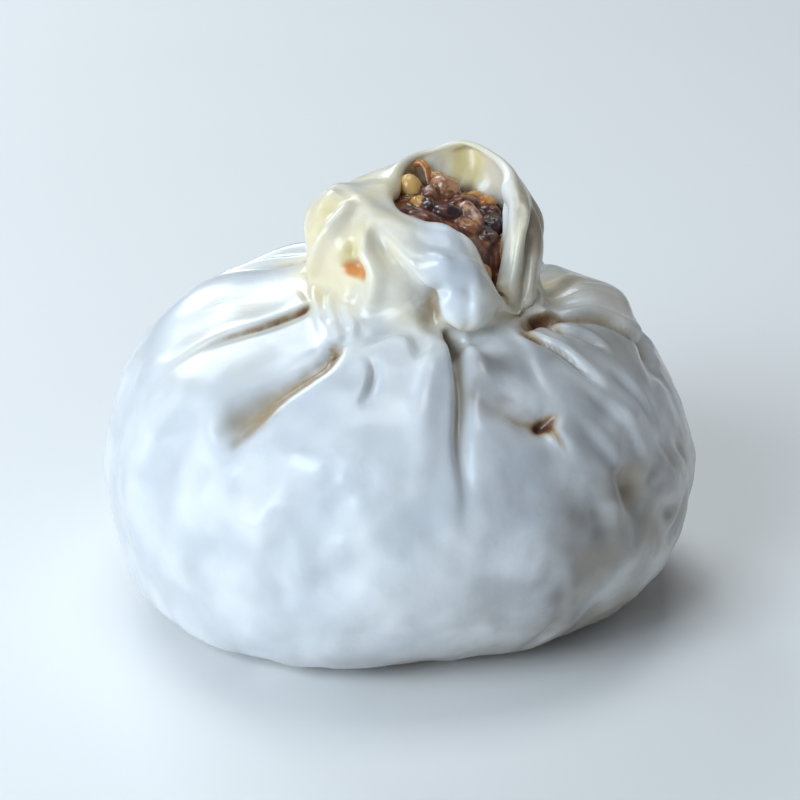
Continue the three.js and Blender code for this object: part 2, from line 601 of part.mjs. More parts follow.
/** A three-sided plug, narrow side up, that points straight into the dough at the gap. */
function gapPlug() {
  const centre = surfacePoint(...FRILL_GAP.place);
  const out = surfaceNormal(...FRILL_GAP.place);
  const upright = new THREE.Vector3(0, 0, 1).addScaledVector(out, -out.z).normalize();
  const aside = upright.clone().cross(out);
  const corner = (right, up, deep) =>
    centre.clone().addScaledVector(aside, right * FRILL_GAP.size).addScaledVector(upright, up * FRILL_GAP.size)
      .addScaledVector(out, deep);
  const outline = [[-0.6, -0.6], [0.65, -0.55], [0.05, 1.1]];
  const shallow = outline.map(([right, up]) => corner(right, up, 1.5));
  const deep = outline.map(([right, up]) => corner(right * 0.8, up * 0.8, 1.5 - FRILL_GAP.length));
  const points = [...deep, ...shallow];
  const geometry = new THREE.BufferGeometry();
  geometry.setAttribute("position", new THREE.Float32BufferAttribute(points.flatMap((p) => p.toArray()), 3));
  geometry.setIndex([0, 2, 1, 3, 4, 5, 0, 1, 4, 0, 4, 3, 1, 2, 5, 1, 5, 4, 2, 0, 3, 2, 3, 5]);
  return geometry;
}

// ---- the dumpling --------------------------------------------------------------------------------------
function named(name, geometry, color, roughness) {
  const mesh = new THREE.Mesh(geometry, new THREE.MeshStandardMaterial({ color, roughness, metalness: 0 }));
  mesh.name = name;
  return mesh;
}

const shumai = new THREE.Group();
const dough = solidOf(makeDough()).subtract(solidOf(gapPlug()));
shumai.add(named("wrapper", geometryOf(dough), DOUGH_COLOUR, 0.35));
shumai.add(named("filling", makeFilling(), FILLING_COLOUR, 0.4));

export default shumai;
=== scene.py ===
"""Looks of a steamed, open-topped shumai.

The dough is one lofted skin with its folds pressed into it, and the filling in its mouth is a core
with rice grains, diced mushroom and onion on top. Sizes below are in millimetres and degrees; meshes
are made in metres, +Z up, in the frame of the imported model. -Y is the front.
"""

import logging
import math
from dataclasses import dataclass, field
from enum import Enum

import bpy
import numpy as np
from mathutils import Euler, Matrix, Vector, noise
from mathutils.kdtree import KDTree


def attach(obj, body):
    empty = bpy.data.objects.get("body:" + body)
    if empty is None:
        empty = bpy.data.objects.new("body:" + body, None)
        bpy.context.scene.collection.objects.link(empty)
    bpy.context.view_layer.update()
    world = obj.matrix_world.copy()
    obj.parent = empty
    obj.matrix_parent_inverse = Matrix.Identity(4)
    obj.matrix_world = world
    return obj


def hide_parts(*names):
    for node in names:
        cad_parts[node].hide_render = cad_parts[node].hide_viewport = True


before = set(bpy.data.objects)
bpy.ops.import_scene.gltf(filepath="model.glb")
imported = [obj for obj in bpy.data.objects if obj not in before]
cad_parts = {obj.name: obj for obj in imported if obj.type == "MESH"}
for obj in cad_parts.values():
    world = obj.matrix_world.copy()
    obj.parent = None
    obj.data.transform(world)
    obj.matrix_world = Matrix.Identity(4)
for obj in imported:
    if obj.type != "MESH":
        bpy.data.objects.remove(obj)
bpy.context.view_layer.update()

LOG = logging.getLogger("shumai")
MM = 0.001
ROOT = "root"


# ---- small mathematics --------------------------------------------------------------------------------
def smooth(share: np.ndarray) -> np.ndarray:
    """Eases a share from 0 to 1, flat at both ends."""
    t = np.clip(share, 0.0, 1.0)
    return t * t * (3.0 - 2.0 * t)


def bell(azimuth: np.ndarray, centre: float, spread: float) -> np.ndarray:
    """A soft bump in azimuth, 1 at its centre."""
    gap = (azimuth - centre + 180.0) % 360.0 - 180.0
    return np.exp(-((gap / spread) ** 2))


def hermite(a: np.ndarray, slope_a: np.ndarray, b: np.ndarray, slope_b: np.ndarray,
            t: np.ndarray, span: np.ndarray) -> np.ndarray:
    """A cubic between two values with given slopes.

    Args:
        a: Value at the start.
        slope_a: Slope at the start.
        b: Value at the end.
        slope_b: Slope at the end.
        t: Share of the way along, from 0 to 1.
        span: Length of the way, in the slopes' units.

    Returns:
        The value at t.
    """
    t2, t3 = t * t, t * t * t
    return ((2 * t3 - 3 * t2 + 1) * a + (t3 - 2 * t2 + t) * span * slope_a
            + (3 * t2 - 2 * t3) * b + (t3 - t2) * span * slope_b)


def through(places: tuple, count: int) -> np.ndarray:
    """Places on a Catmull-Rom curve.

    Args:
        places: The (azimuth, level) places that the curve passes.
        count: How many places to return.

    Returns:
        An array of count rows of (azimuth, level).
    """
    p = np.array(places, float)
    ends = np.vstack([2 * p[0] - p[1], p, 2 * p[-1] - p[-2]])
    x = np.linspace(0, len(p) - 1, count)
    span = np.minimum(x.astype(int), len(p) - 2)
    t = (x - span)[:, None]
    p0, p1, p2, p3 = (ends[span + k] for k in range(4))
    return hermite(p1, (p2 - p0) / 2, p2, (p3 - p1) / 2, t, 1.0)


def unit(vectors: np.ndarray) -> np.ndarray:
    """Vectors scaled to length 1."""
    return vectors / np.maximum(np.linalg.norm(vectors, axis=-1, keepdims=True), 1e-9)


def lumps(points: np.ndarray, size: float, octaves: int, seed: float) -> np.ndarray:
    """Smooth noise in space.

    Args:
        points: Places in millimetres, of shape (..., 3).
        size: Width of a lump in millimetres.
        octaves: How many finer layers it has.
        seed: Moves the pattern.

    Returns:
        A value of about -1 to 1 at each place.
    """
    flat = points.reshape(-1, 3) / size + seed
    values = [noise.fractal(Vector(p), 0.9, 2.1, octaves) for p in flat]
    return np.array(values).reshape(points.shape[:-1])


@dataclass
class Nearest:
    """The nearest place on a track for each of many points."""

    distance: np.ndarray
    share: np.ndarray
    offset: np.ndarray
    index: np.ndarray

    @classmethod
    def to(cls, track: np.ndarray, points: np.ndarray) -> "Nearest":
        """Measures the points against a track.

        Args:
            track: Places along the track, in mm.
            points: The points, in mm.

        Returns:
            Their distances, shares of the way along, offsets and track indices.
        """
        best = np.full(len(points), np.inf)
        share, index = np.zeros(len(points)), np.zeros(len(points), int)
        offset = np.zeros((len(points), 3))
        last = len(track) - 1
        for i in range(last):
            step = track[i + 1] - track[i]
            t = np.clip(((points - track[i]) @ step) / (step @ step), 0, 1)
            away = points - track[i] - t[:, None] * step
            square = (away ** 2).sum(1)
            closer = square < best
            best = np.where(closer, square, best)
            share = np.where(closer, (i + t) / last, share)
            offset = np.where(closer[:, None], away, offset)
            index = np.where(closer, i, index)
        return cls(np.sqrt(best), share, offset, index)


# ---- rings, folds and dents of the dough --------------------------------------------------------------
@dataclass(frozen=True)
class Swell:
    """A soft local change of a round ring: azimuth and spread in degrees, radius and height in mm."""

    azimuth: float
    spread: float
    radius: float
    height: float = 0.0


@dataclass(frozen=True)
class RoundRing:
    """A ring with one radius and height, changed by swells."""

    name: str
    radius: float
    height: float
    shift: tuple = (0.0, 0.0)
    swells: tuple = ()

    def trace(self, azimuth: np.ndarray) -> np.ndarray:
        """Traces the ring.

        Args:
            azimuth: The azimuths in degrees.

        Returns:
            Its points there, in mm.
        """
        radius = np.full_like(azimuth, self.radius)
        height = np.full_like(azimuth, self.height)
        for s in self.swells:
            share = bell(azimuth, s.azimuth, s.spread)
            radius = radius + s.radius * share
            height = height + s.height * share
        return around(self.shift, radius, azimuth, height)


@dataclass(frozen=True)
class FreeRing:
    """A ring through stations, each (azimuth, radius, height), joined by a smooth closed curve."""

    name: str
    stations: tuple
    shift: tuple = (0.0, 0.0)
    flatten: float = 0.35

    def trace(self, azimuth: np.ndarray) -> np.ndarray:
        """Traces the ring.

        Args:
            azimuth: The azimuths in degrees.

        Returns:
            Its points there, in mm.
        """
        rows = np.array(sorted((a % 360.0, r, z) for a, r, z in self.stations))
        at, values = rows[:, 0], rows[:, 1:]
        gap = (np.roll(at, -1) - at) % 360.0
        after = (np.roll(values, -1, 0) - values) / gap[:, None]
        before = np.roll(after, 1, 0)
        gap_before = np.roll(gap, 1)
        tangent = (before * gap[:, None] + after * gap_before[:, None]) / (gap + gap_before)[:, None]
        tangent = np.where(before * after <= 0, tangent * self.flatten, tangent)
        here = azimuth % 360.0
        i = (np.searchsorted(at, here, side="right") - 1) % len(at)
        j = (i + 1) % len(at)
        t = (((here - at[i]) % 360.0) / gap[i])[:, None]
        radius, height = hermite(values[i], tangent[i], values[j], tangent[j], t, gap[i][:, None]).T
        return around(self.shift, radius, azimuth, height)


def around(shift: tuple, radius: np.ndarray, azimuth: np.ndarray, height: np.ndarray) -> np.ndarray:
    """Points on a ring about a shifted axis."""
    a = np.radians(azimuth)
    return np.stack([shift[0] + radius * np.cos(a), shift[1] + radius * np.sin(a), height], axis=-1)


class Side(Enum):
    """The side of its path on which a fold's lip lies, seen from outside."""

    LEFT = 1
    RIGHT = -1


@dataclass(frozen=True)
class Fold:
    """A valley along a path, with a raised lip on one side. A negative depth is a ridge."""

    name: str
    path: tuple
    depth: float
    width: float
    side: Side = Side.LEFT
    lip: float = 0.0
    lip_width: float = 1.5
    overlap: float = 0.0
    fade_in: float = 0.3
    fade_out: float = 0.4
    steep: float = 0.6
    taper: float = 1.0
    # stain_and_shade and its end value: soaking, and painted shade where a lip shades the valley; mark sets
    # its width.
    stain_and_shade: float = 0.0
    stain_and_shade_end: float | None = None
    mark: float = 0.4


@dataclass(frozen=True)
class Dent:
    """A soft round hollow. A negative depth is a bump."""

    name: str
    place: tuple
    depth: float
    across: float
    along: float
    turn: float = 0.0
    # stain_and_shade: soaking, and painted shade in the pockets and beside the lobe.
    stain_and_shade: float = 0.0


NECK = (2.4, 0.0)
SLIT = -40.0
SLIT_FALL = -36.0
RINGS = (
    RoundRing("sole centre", 0.0, 0.0, (-2.0, 0)),
    RoundRing("sole", 11.0, 0.0, (-2.0, 0)),
    RoundRing("foot", 18.0, 0.0, (-2.0, 0), (Swell(215, 50, 1.0), Swell(-75, 50, -1.0), Swell(-30, 30, 0.8))),
    RoundRing("heel", 24.6, 2.2, (-1.4, 0), (Swell(205, 55, 1.2), Swell(-75, 42, -1.5), Swell(-28, 28, 1.1))),
    RoundRing("low belly", 28.6, 7.5, (-0.3, 0),
              (Swell(190, 50, 0.3), Swell(-80, 45, -1.0), Swell(-30, 30, 0.7))),
    RoundRing("equator", 30.0, 13.8, (0, 0), (Swell(-85, 50, -0.3),)),
    RoundRing("high belly", 28.9, 20.6, (0, 0),
              (Swell(180, 55, 0.1), Swell(5, 40, -0.6), Swell(175, 30, -0.3))),
    RoundRing("shoulder", 25.0, 26.6, (0, 0), (Swell(170, 60, 0.6, 0.2), Swell(18, 35, -0.4, 0.6))),
    RoundRing("collar", 18.4, 30.4, (0.8, 0.5), (Swell(165, 60, 0.9, 0.5), Swell(25, 50, 0.5, 0.2))),
    RoundRing("neck base", 13.0, 32.0, (2.0, 0.2),
              (Swell(170, 60, 0.6, 0.8), Swell(20, 40, -0.4, -1.5), Swell(-39, 25, 0.0, -0.6),
               Swell(-70, 15, -0.8, -0.1))),
    RoundRing("neck", 11.3, 34.0, NECK,
              (Swell(-36, 20, 0.3, -2.2), Swell(-70, 15, 1.5, -0.5), Swell(180, 50, 0.3))),
    FreeRing("waist", (
        (180, 11.7, 36.8), (120, 11.2, 37.0), (60, 11.2, 37.2), (20, 11.5, 36.6), (-10, 11.7, 35.4),
        (-39, 11.8, 31.9), (-52, 12.2, 33.2), (-68, 13.1, 35.0), (-84, 12.0, 36.0), (-100, 11.3, 36.4),
        (-120, 11.4, 36.6), (-150, 11.6, 36.7)), NECK),
    FreeRing("bulge", (
        (180, 11.7, 39.4), (150, 11.2, 39.6), (120, 10.6, 39.8), (90, 10.6, 40.2), (60, 11.1, 40.5),
        (30, 11.6, 39.7), (0, 11.8, 38.2), (-20, 11.7, 36.3), (-39, 11.5, 32.15), (-51, 11.8, 33.9),
        (-66, 12.1, 37.0), (-80, 11.6, 37.9), (-95, 10.8, 38.4), (-120, 10.8, 38.8),
        (-150, 11.5, 39.2)), NECK),
    FreeRing("brim", (
        (180, 9.5, 42.0), (150, 8.9, 41.7), (120, 8.6, 42.1), (90, 8.9, 42.5), (62, 9.6, 43.1),
        (35, 10.1, 42.5), (10, 10.6, 41.2), (-8, 10.7, 40.0), (-24, 10.7, 37.4), (-32, 10.7, 34.7),
        (-40, 10.9, 32.35), (-50, 10.8, 34.4), (-57, 10.4, 36.9), (-66, 9.8, 38.5), (-90, 8.7, 39.6),
        (-120, 8.1, 40.8), (-150, 8.6, 41.8)), NECK),
    FreeRing("rim", (
        (180, 3.9, 42.7), (150, 4.1, 42.9), (120, 5.4, 43.6), (100, 6.7, 44.0), (85, 7.5, 44.2),
        (62, 8.4, 45.1), (35, 8.8, 44.4), (10, 9.2, 43.4), (-8, 9.3, 42.2), (-24, 9.5, 39.2),
        (-32, 9.9, 35.5), (-40, 10.3, 32.55), (-50, 9.9, 35.3), (-57, 8.9, 38.6), (-66, 7.7, 40.0),
        (-90, 6.1, 40.7), (-120, 5.0, 41.3), (-150, 4.2, 42.1)), NECK),
)
RIM = len(RINGS) - 1

FOLDS = (
    Fold("flap", (
        (-128, 12.9), (-120, 12.6), (-112, 12.35), (-105, 12.0), (-98, 11.4), (-93, 10.95), (-88, 10.6),
        (-86, 10.2)),
        depth=0.9, width=1.2, lip=0.35, overlap=0.2, fade_out=0.3),
    Fold("lobe edge", (
        (-84, 11.1), (-87, 10.6), (-87, 10.1), (-84, 9.5), (-78, 9.0), (-70, 8.75), (-62, 8.95), (-56, 9.6)),
        depth=1.0, width=1.1, lip=0.4, lip_width=1.6, overlap=0.1, fade_in=0.2, fade_out=0.4, steep=0.8,
        stain_and_shade=0.3, stain_and_shade_end=0.0, mark=0.6),
    Fold("right lip", (
        (-4, 13.2), (-12, 12.98), (-20, 12.85), (-27, 12.65), (-32, 12.4), (-33, 11.4), (-29, 10.3)),
        depth=0.9, width=0.9, lip=0.2, lip_width=1.2, fade_in=0.15, fade_out=0.35, steep=0.8),
    Fold("right lip ridge", ((-2, 13.7), (-12, 13.62), (-20, 13.55), (-28, 13.5), (-35, 13.4), (-38, 13.2)),
         depth=-1.1, width=0.8, fade_in=0.3, fade_out=0.25, steep=1.0),
    Fold("front valley", ((-77, 9.1), (-76, 8.6), (-76, 7.75), (-78, 6.9), (-78, 6.2), (-79, 5.5)),
         depth=1.5, width=1.0, side=Side.RIGHT, lip=0.4, lip_width=1.6, overlap=0.3, fade_in=0.08,
         fade_out=0.6, steep=0.6, stain_and_shade=0.5, stain_and_shade_end=0.2),
    Fold("front left roll", ((-84, 8.8), (-84, 8.0), (-85, 7.2), (-87, 6.4)), depth=-0.7, width=1.3,
         fade_out=0.6, steep=1.0),
    Fold("front right roll", ((-70, 8.5), (-69, 7.8), (-66, 7.1), (-64, 6.2)), depth=-0.6, width=1.3,
         fade_out=0.6, steep=1.0),
    Fold("arch", ((-109, 8.3), (-106, 8.8), (-100, 9.05), (-93, 8.9), (-88, 8.4), (-86, 7.8)), depth=0.6,
         width=0.9, side=Side.RIGHT, lip=0.3, lip_width=1.6),
    Fold("left pleat", (
        (-144, 9.3), (-145, 8.7), (-146, 8.2), (-150, 7.75), (-153, 7.4), (-156, 6.9), (-158, 6.4)),
        depth=0.2, width=0.7, side=Side.RIGHT, lip=0.85, lip_width=3.2, overlap=0.35, fade_in=0.1,
        fade_out=0.7, steep=0.5, stain_and_shade=0.95, stain_and_shade_end=-0.1, mark=0.4),
    Fold("left pocket", (
        (-119, 8.7), (-116, 8.4), (-114.5, 8.0), (-116.6, 7.7), (-120.8, 7.4), (-123.2, 7.06), (-126, 6.72),
        (-129, 6.5)),
        depth=1.0, width=2.2, overlap=0.1, lip_width=1.8, fade_out=0.35, steep=0.7, taper=0.4,
        stain_and_shade=0.75, stain_and_shade_end=0.42, mark=0.75),
    Fold("hook", ((-106, 8.3), (-101, 8.05), (-99, 7.8), (-99, 7.5), (-101, 7.25)), depth=0.4, width=0.6,
         side=Side.RIGHT, lip=0.35, lip_width=1.5, fade_out=0.5, stain_and_shade=0.35, stain_and_shade_end=0.15),
    Fold("right pocket", ((-70, 8.3), (-70, 7.8), (-68, 7.45), (-65, 7.15), (-60, 7.0), (-55, 6.9)),
         depth=1.2, width=1.8, fade_in=0.5, fade_out=0.12, steep=0.8, stain_and_shade=-0.3, stain_and_shade_end=0.7, mark=0.25),
    Fold("right tail", ((-57, 6.95), (-56, 6.6), (-54, 6.2)), depth=0.3, width=0.8, fade_in=0.1,
         fade_out=0.7, stain_and_shade=0.7, stain_and_shade_end=0.1, mark=0.5),
    Fold("right step", ((-55, 8.3), (-55, 7.6), (-54, 7.2), (-53, 6.9)), depth=0.15, width=1.0),
    Fold("lower right line", ((-44, 8.8), (-43, 8.22), (-40, 7.8), (-38, 7.4), (-37, 7.0)),
         depth=1.0, width=0.75, lip=0.5, lip_width=1.5, overlap=0.4, fade_in=0.1, fade_out=0.4, steep=0.5,
         stain_and_shade=0.65, stain_and_shade_end=0.0, mark=0.35),
    Fold("upper right line", ((-33, 8.6), (-32, 8.2), (-28, 7.9), (-26, 7.65), (-27, 7.4)), depth=0.8,
         width=0.6, lip=0.4, lip_width=1.3, fade_in=0.2, fade_out=0.4, stain_and_shade=0.45, stain_and_shade_end=0.1, mark=0.35),
    Fold("right pleat", (
        (-34, 9.2), (-26, 8.75), (-19, 8.35), (-12, 7.85), (-8, 7.4), (-3, 7.05), (4, 6.8), (12, 6.6)),
        depth=0.9, width=0.9, lip=0.9, lip_width=2.4, overlap=0.45, fade_in=0.12, fade_out=0.3,
        steep=0.45, stain_and_shade=0.7, stain_and_shade_end=0.15, mark=0.4),
    Fold("left frill ridge", (
        (172, 13.6), (-168, 13.35), (-150, 12.9), (-145, 12.4), (-147, 11.9), (-152, 11.2), (-160, 10.4),
        (-163, 9.8)), depth=-1.2, width=0.9, fade_in=0.5, fade_out=0.25, steep=1.0),
    Fold("frill loop", (
        (-131, 12.9), (-126, 12.4), (-118, 11.7), (-114, 11.1), (-116, 10.3), (-120, 9.6), (-127, 9.2)),
        depth=-1.0, width=1.0, fade_in=0.25, steep=1.0),
    Fold("left neck ridge", ((-165, 10.1), (-148, 9.5), (-134, 8.9), (-122, 8.5), (-117, 8.2)), depth=-0.7,
         width=0.55, fade_in=0.3, fade_out=0.2, steep=1.0),
    Fold("second neck ridge", ((-147, 10.4), (-138, 9.6), (-128, 8.95), (-119, 8.6), (-116, 8.3)),
         depth=-0.7, width=0.55, fade_in=0.3, fade_out=0.2, steep=1.0),
    Fold("third neck ridge", ((-133, 9.9), (-126, 9.4), (-118, 8.9), (-113, 8.5)), depth=-0.5, width=0.5,
         fade_in=0.3, fade_out=0.3, steep=1.0),
    Fold("neck knot", ((-119, 8.45), (-116, 8.25), (-113, 8.15)), depth=0.3, width=0.5, fade_in=0.3,
         fade_out=0.3, steep=1.0, stain_and_shade=0.4, mark=0.7),
    Fold("right neck fold", ((8, 13.4), (2, 12.0), (-4, 10.6), (-14, 9.6)), depth=0.6, width=0.9, lip=0.3,
         lip_width=1.4, fade_in=0.4, fade_out=0.3, stain_and_shade=0.2),
    Fold("right streak 1", ((-52, 7.0), (-48, 6.6), (-45, 6.2), (-43, 5.8)), depth=0.6, width=0.9,
         lip=0.35, lip_width=1.6, fade_in=0.4, fade_out=0.4, steep=0.6),
    Fold("right streak 2", ((-45, 7.3), (-40, 6.8), (-37, 6.3), (-35, 5.8)), depth=0.6, width=0.9,
         lip=0.4, lip_width=1.6, fade_in=0.4, fade_out=0.4, steep=0.6),
    Fold("right streak 3", ((-32, 7.4), (-29, 6.8), (-27, 6.3)), depth=0.5, width=0.8, lip=0.35,
         lip_width=1.4, fade_in=0.4, fade_out=0.4, steep=0.6),
    Fold("right crack", ((-30, 6.25), (-27, 5.9), (-25, 5.62), (-21, 5.3), (-16, 5.08)), depth=0.4,
         width=0.6, lip=0.15, lip_width=0.9, fade_in=0.2, fade_out=0.3, stain_and_shade=0.3, mark=0.6),
    Fold("right crack branch", ((-22, 5.95), (-21, 5.65), (-20, 5.35)), depth=0.35, width=0.55, lip=0.1,
         lip_width=0.8, fade_in=0.2, fade_out=0.3, stain_and_shade=0.3, mark=0.6),
    Fold("corner crease", ((-61, 5.1), (-59, 4.6), (-57.5, 4.1), (-57, 3.6), (-58, 3.0)), depth=0.4,
         width=0.8, lip=0.35, lip_width=1.8, fade_in=0.4, fade_out=0.3, steep=0.6, stain_and_shade=0.2, mark=0.6),
    Fold("right cheek ridge", ((-51, 5.55), (-47, 5.15), (-43, 4.8), (-40, 4.5)), depth=-0.5, width=0.9,
         fade_in=0.3, fade_out=0.4, steep=1.0),
    Fold("right underside", ((-20, 5.2), (-26, 4.75), (-33, 4.7)), depth=0.5, width=1.1, lip=0.4,
         side=Side.RIGHT, lip_width=2.0, fade_in=0.2, fade_out=0.4, steep=0.6),
    Fold("back pleat 1", ((36, 9.4), (41, 8.6), (43, 7.9), (47, 7.3), (50, 6.6)), depth=0.5, width=1.0,
         lip=0.8, lip_width=2.4, overlap=0.3, fade_in=0.1, fade_out=0.6, steep=0.5, stain_and_shade=0.8,
         stain_and_shade_end=-0.4, mark=0.45),
    Fold("back pleat 2", ((62, 9.5), (65, 8.7), (70, 7.9), (71, 7.2)), depth=0.6, width=1.1, lip=0.9,
         lip_width=2.2, overlap=0.5, fade_in=0.1, fade_out=0.6, steep=0.4, stain_and_shade=0.8, stain_and_shade_end=-0.3,
         mark=0.45),
    Fold("back pleat 3", ((88, 9.6), (87, 8.8), (92, 8.0), (98, 7.3), (100, 6.5)), depth=0.6, width=1.1,
         side=Side.RIGHT, lip=1.1, lip_width=2.6, overlap=0.6, fade_in=0.1, fade_out=0.6, steep=0.4,
         stain_and_shade=1.0, stain_and_shade_end=-0.5, mark=0.45),
    Fold("back pleat 4", ((112, 9.4), (116, 8.7), (117, 8.0), (121, 7.4)), depth=0.6, width=1.0, lip=0.8,
         lip_width=2.2, overlap=0.5, fade_in=0.1, fade_out=0.6, steep=0.4, stain_and_shade=0.6, stain_and_shade_end=-0.2,
         mark=0.45),
    Fold("back pleat 5", ((139, 9.5), (138, 8.7), (142, 7.9), (145, 7.2), (144, 6.6)), depth=0.35,
         width=1.1, side=Side.RIGHT, lip=0.45, lip_width=2.4, overlap=0.2, fade_in=0.1, fade_out=0.6,
         steep=0.5, stain_and_shade=0.5, stain_and_shade_end=-0.3, mark=0.4),
    Fold("back pocket", ((78, 8.4), (81, 7.8), (79, 7.3), (76, 6.9)), depth=1.3, width=1.5, lip=0.4,
         lip_width=1.8, overlap=0.4, fade_in=0.3, fade_out=0.25, steep=0.4, stain_and_shade=0.4, mark=0.3),
    Fold("back pleat 6", ((12, 9.5), (15, 8.8), (20, 8.2), (22, 7.7)), depth=0.5, width=0.9, lip=0.7,
         lip_width=2.2, overlap=0.3, fade_in=0.1, fade_out=0.6, steep=0.5, stain_and_shade=0.5, stain_and_shade_end=-0.3),
    Fold("back pleat 7", ((51, 9.4), (53, 8.8), (57, 8.2), (58, 7.5)), depth=0.4, width=0.8, lip=0.6,
         lip_width=2.0, overlap=0.2, fade_in=0.1, fade_out=0.7, steep=0.5),
    Fold("back pleat 8", ((125, 9.3), (129, 8.6), (130, 8.0), (134, 7.2), (135, 6.7)), depth=0.6,
         width=1.2, lip=0.9, lip_width=2.6, overlap=0.4, fade_in=0.1, fade_out=0.6, steep=0.4, stain_and_shade=0.4,
         stain_and_shade_end=-0.3),
    Fold("back pleat 9", ((149, 9.4), (152, 8.7), (154, 8.0), (158, 7.2)), depth=0.6, width=1.1, lip=0.6,
         side=Side.RIGHT, lip_width=2.6, overlap=0.3, fade_in=0.1, fade_out=0.6, steep=0.5, stain_and_shade=0.6,
         stain_and_shade_end=-0.3),
    Fold("back roll", ((100, 8.9), (110, 8.75), (122, 8.7), (131, 8.85)), depth=-0.6, width=1.0,
         fade_in=0.4, fade_out=0.4, steep=1.0),
    Fold("back neck fold 1", ((70, 13.2), (64, 12.0), (62, 10.8), (56, 9.6)), depth=0.8, width=1.0,
         lip=0.4, fade_out=0.2, steep=0.5),
    Fold("back neck fold 2", ((108, 13.0), (104, 11.8), (96, 10.8), (86, 9.7)), depth=0.8, width=1.0,
         side=Side.RIGHT, lip=0.4, fade_out=0.2, steep=0.5),
    Fold("back neck fold 3", ((140, 12.8), (136, 11.6), (140, 10.6), (146, 9.6)), depth=0.8, width=1.0,
         lip=0.4, fade_out=0.2, steep=0.5),
    Fold("back neck fold 4", ((172, 12.6), (176, 11.6), (172, 10.6), (178, 9.6)), depth=0.6, width=0.9,
         side=Side.RIGHT, lip=0.4, lip_width=1.4, fade_out=0.2, steep=0.5),
)

DENTS = (
    Dent("right corner", (-34, 8.8), 0.9, 1.5, 0.7, stain_and_shade=0.45),
    Dent("flap hump", (-82, 12.2), -0.9, 1.7, 1.1),
    Dent("flap far hump", (-68, 12.5), -0.4, 1.4, 0.8),
    Dent("flap dent", (-72, 11.3), 0.6, 1.7, 0.9),
    Dent("lobe", (-71, 10.0), -0.7, 2.2, 1.5),
    Dent("lobe hem", (-70, 9.55), -0.5, 1.9, 0.9),
    Dent("lobe pinch", (-84, 11.0), 0.8, 0.8, 0.6),
    Dent("frill bulge", (-103, 11.0), -0.6, 2.2, 2.4),
    Dent("bulge shade", (-88, 9.9), 0.5, 1.0, 1.6, stain_and_shade=0.32),
    Dent("frill gap", (-127, 11.25), 1.3, 1.25, 0.75),
    Dent("frill gap top", (-129, 12.0), 0.9, 0.8, 1.1),
    Dent("pale lobe", (-131, 10.1), -0.6, 0.9, 1.0),
    Dent("upper dip", (-159, 12.9), 0.9, 1.1, 1.3),
    Dent("lower dip", (-157, 11.8), 0.7, 1.1, 1.7),
    Dent("tear", (-57, 6.98), 1.3, 1.1, 0.55, 20, stain_and_shade=1.3),
    Dent("front bump", (-105, 6.6), -0.5, 4.5, 3.0),
    Dent("left bump", (-140, 7.2), -0.4, 4.0, 3.0),
    Dent("left pocket end", (-126.8, 7.0), 0.5, 2.3, 1.5, 57, stain_and_shade=0.05),
    Dent("left pocket middle", (-122, 7.45), 0.2, 2.6, 1.1, 57, stain_and_shade=0.05),
    Dent("left cheek", (-142, 6.35), -0.45, 2.2, 1.5, 20),
    Dent("left low bump", (-133, 4.9), -0.4, 1.6, 2.2),
    Dent("front low bump 1", (-116, 5.65), -0.45, 1.9, 1.3, -15),
    Dent("front low bump 2", (-108, 5.2), -0.5, 1.4, 1.8),
    Dent("front low bump 3", (-101, 5.45), -0.5, 1.5, 1.6),
    Dent("front low bump 4", (-95, 5.0), -0.4, 1.6, 1.8),
    Dent("right hollow", (-41, 5.75), 2.3, 1.8, 2.2),
    Dent("right small hollow", (-51, 5.6), 0.8, 1.2, 2.2, stain_and_shade=0.12),
    Dent("right dent 2", (-34, 5.75), 0.9, 1.3, 1.0),
    Dent("right dent 3", (-31, 5.15), 0.8, 2.4, 0.8, -12),
    Dent("right bump 1", (-37, 6.6), -0.5, 2.2, 1.6),
    Dent("right notch", (3, 6.92), 2.0, 6.5, 1.6),
    Dent("right roll", (14, 7.35), -0.8, 6.0, 2.2),
    Dent("left shoulder", (165, 7.7), -0.6, 5.0, 3.0),
    Dent("right low hollow", (-61, 5.0), 0.5, 1.6, 2.0),
    Dent("right low crease", (-46, 3.7), 0.5, 1.0, 2.6, 10),
    Dent("right bump 2", (-22, 5.55), -0.5, 2.6, 2.2),
    Dent("back hollow 1", (60, 5.6), 0.7, 3.0, 2.2),
    Dent("back hollow 2", (128, 5.2), 0.6, 3.4, 2.6),
    Dent("back bump", (100, 5.9), -0.5, 4.0, 3.2),
)


@dataclass(frozen=True)
class Ridge:
    """A soft ridge on the inside of the mouth, or a hollow when its height is negative."""

    path: tuple
    height: float
    width: float


INSIDE_RIDGES = (
    Ridge(((90, 14.0), (86, 13.6), (80, 13.0), (73, 12.5), (68, 12.1)), 2.0, 0.9),
    Ridge(((60, 13.9), (57, 13.4), (55, 12.9)), -1.3, 1.2),
    Ridge(((70, 12.1), (62, 12.3), (53, 12.65), (45, 12.8), (39, 12.7), (36, 12.4)), 1.7, 0.7),
    Ridge(((36, 12.4), (30, 11.6), (24, 10.9)), 0.4, 0.8),
    Ridge(((112, 13.8), (116, 13.0), (122, 12.2)), 0.5, 0.9),
)


@dataclass(frozen=True)
class Spots:
    """Soft round marks that colour the dough: each has its (azimuth, level) and its radius in mm."""

    strength: float
    marks: tuple


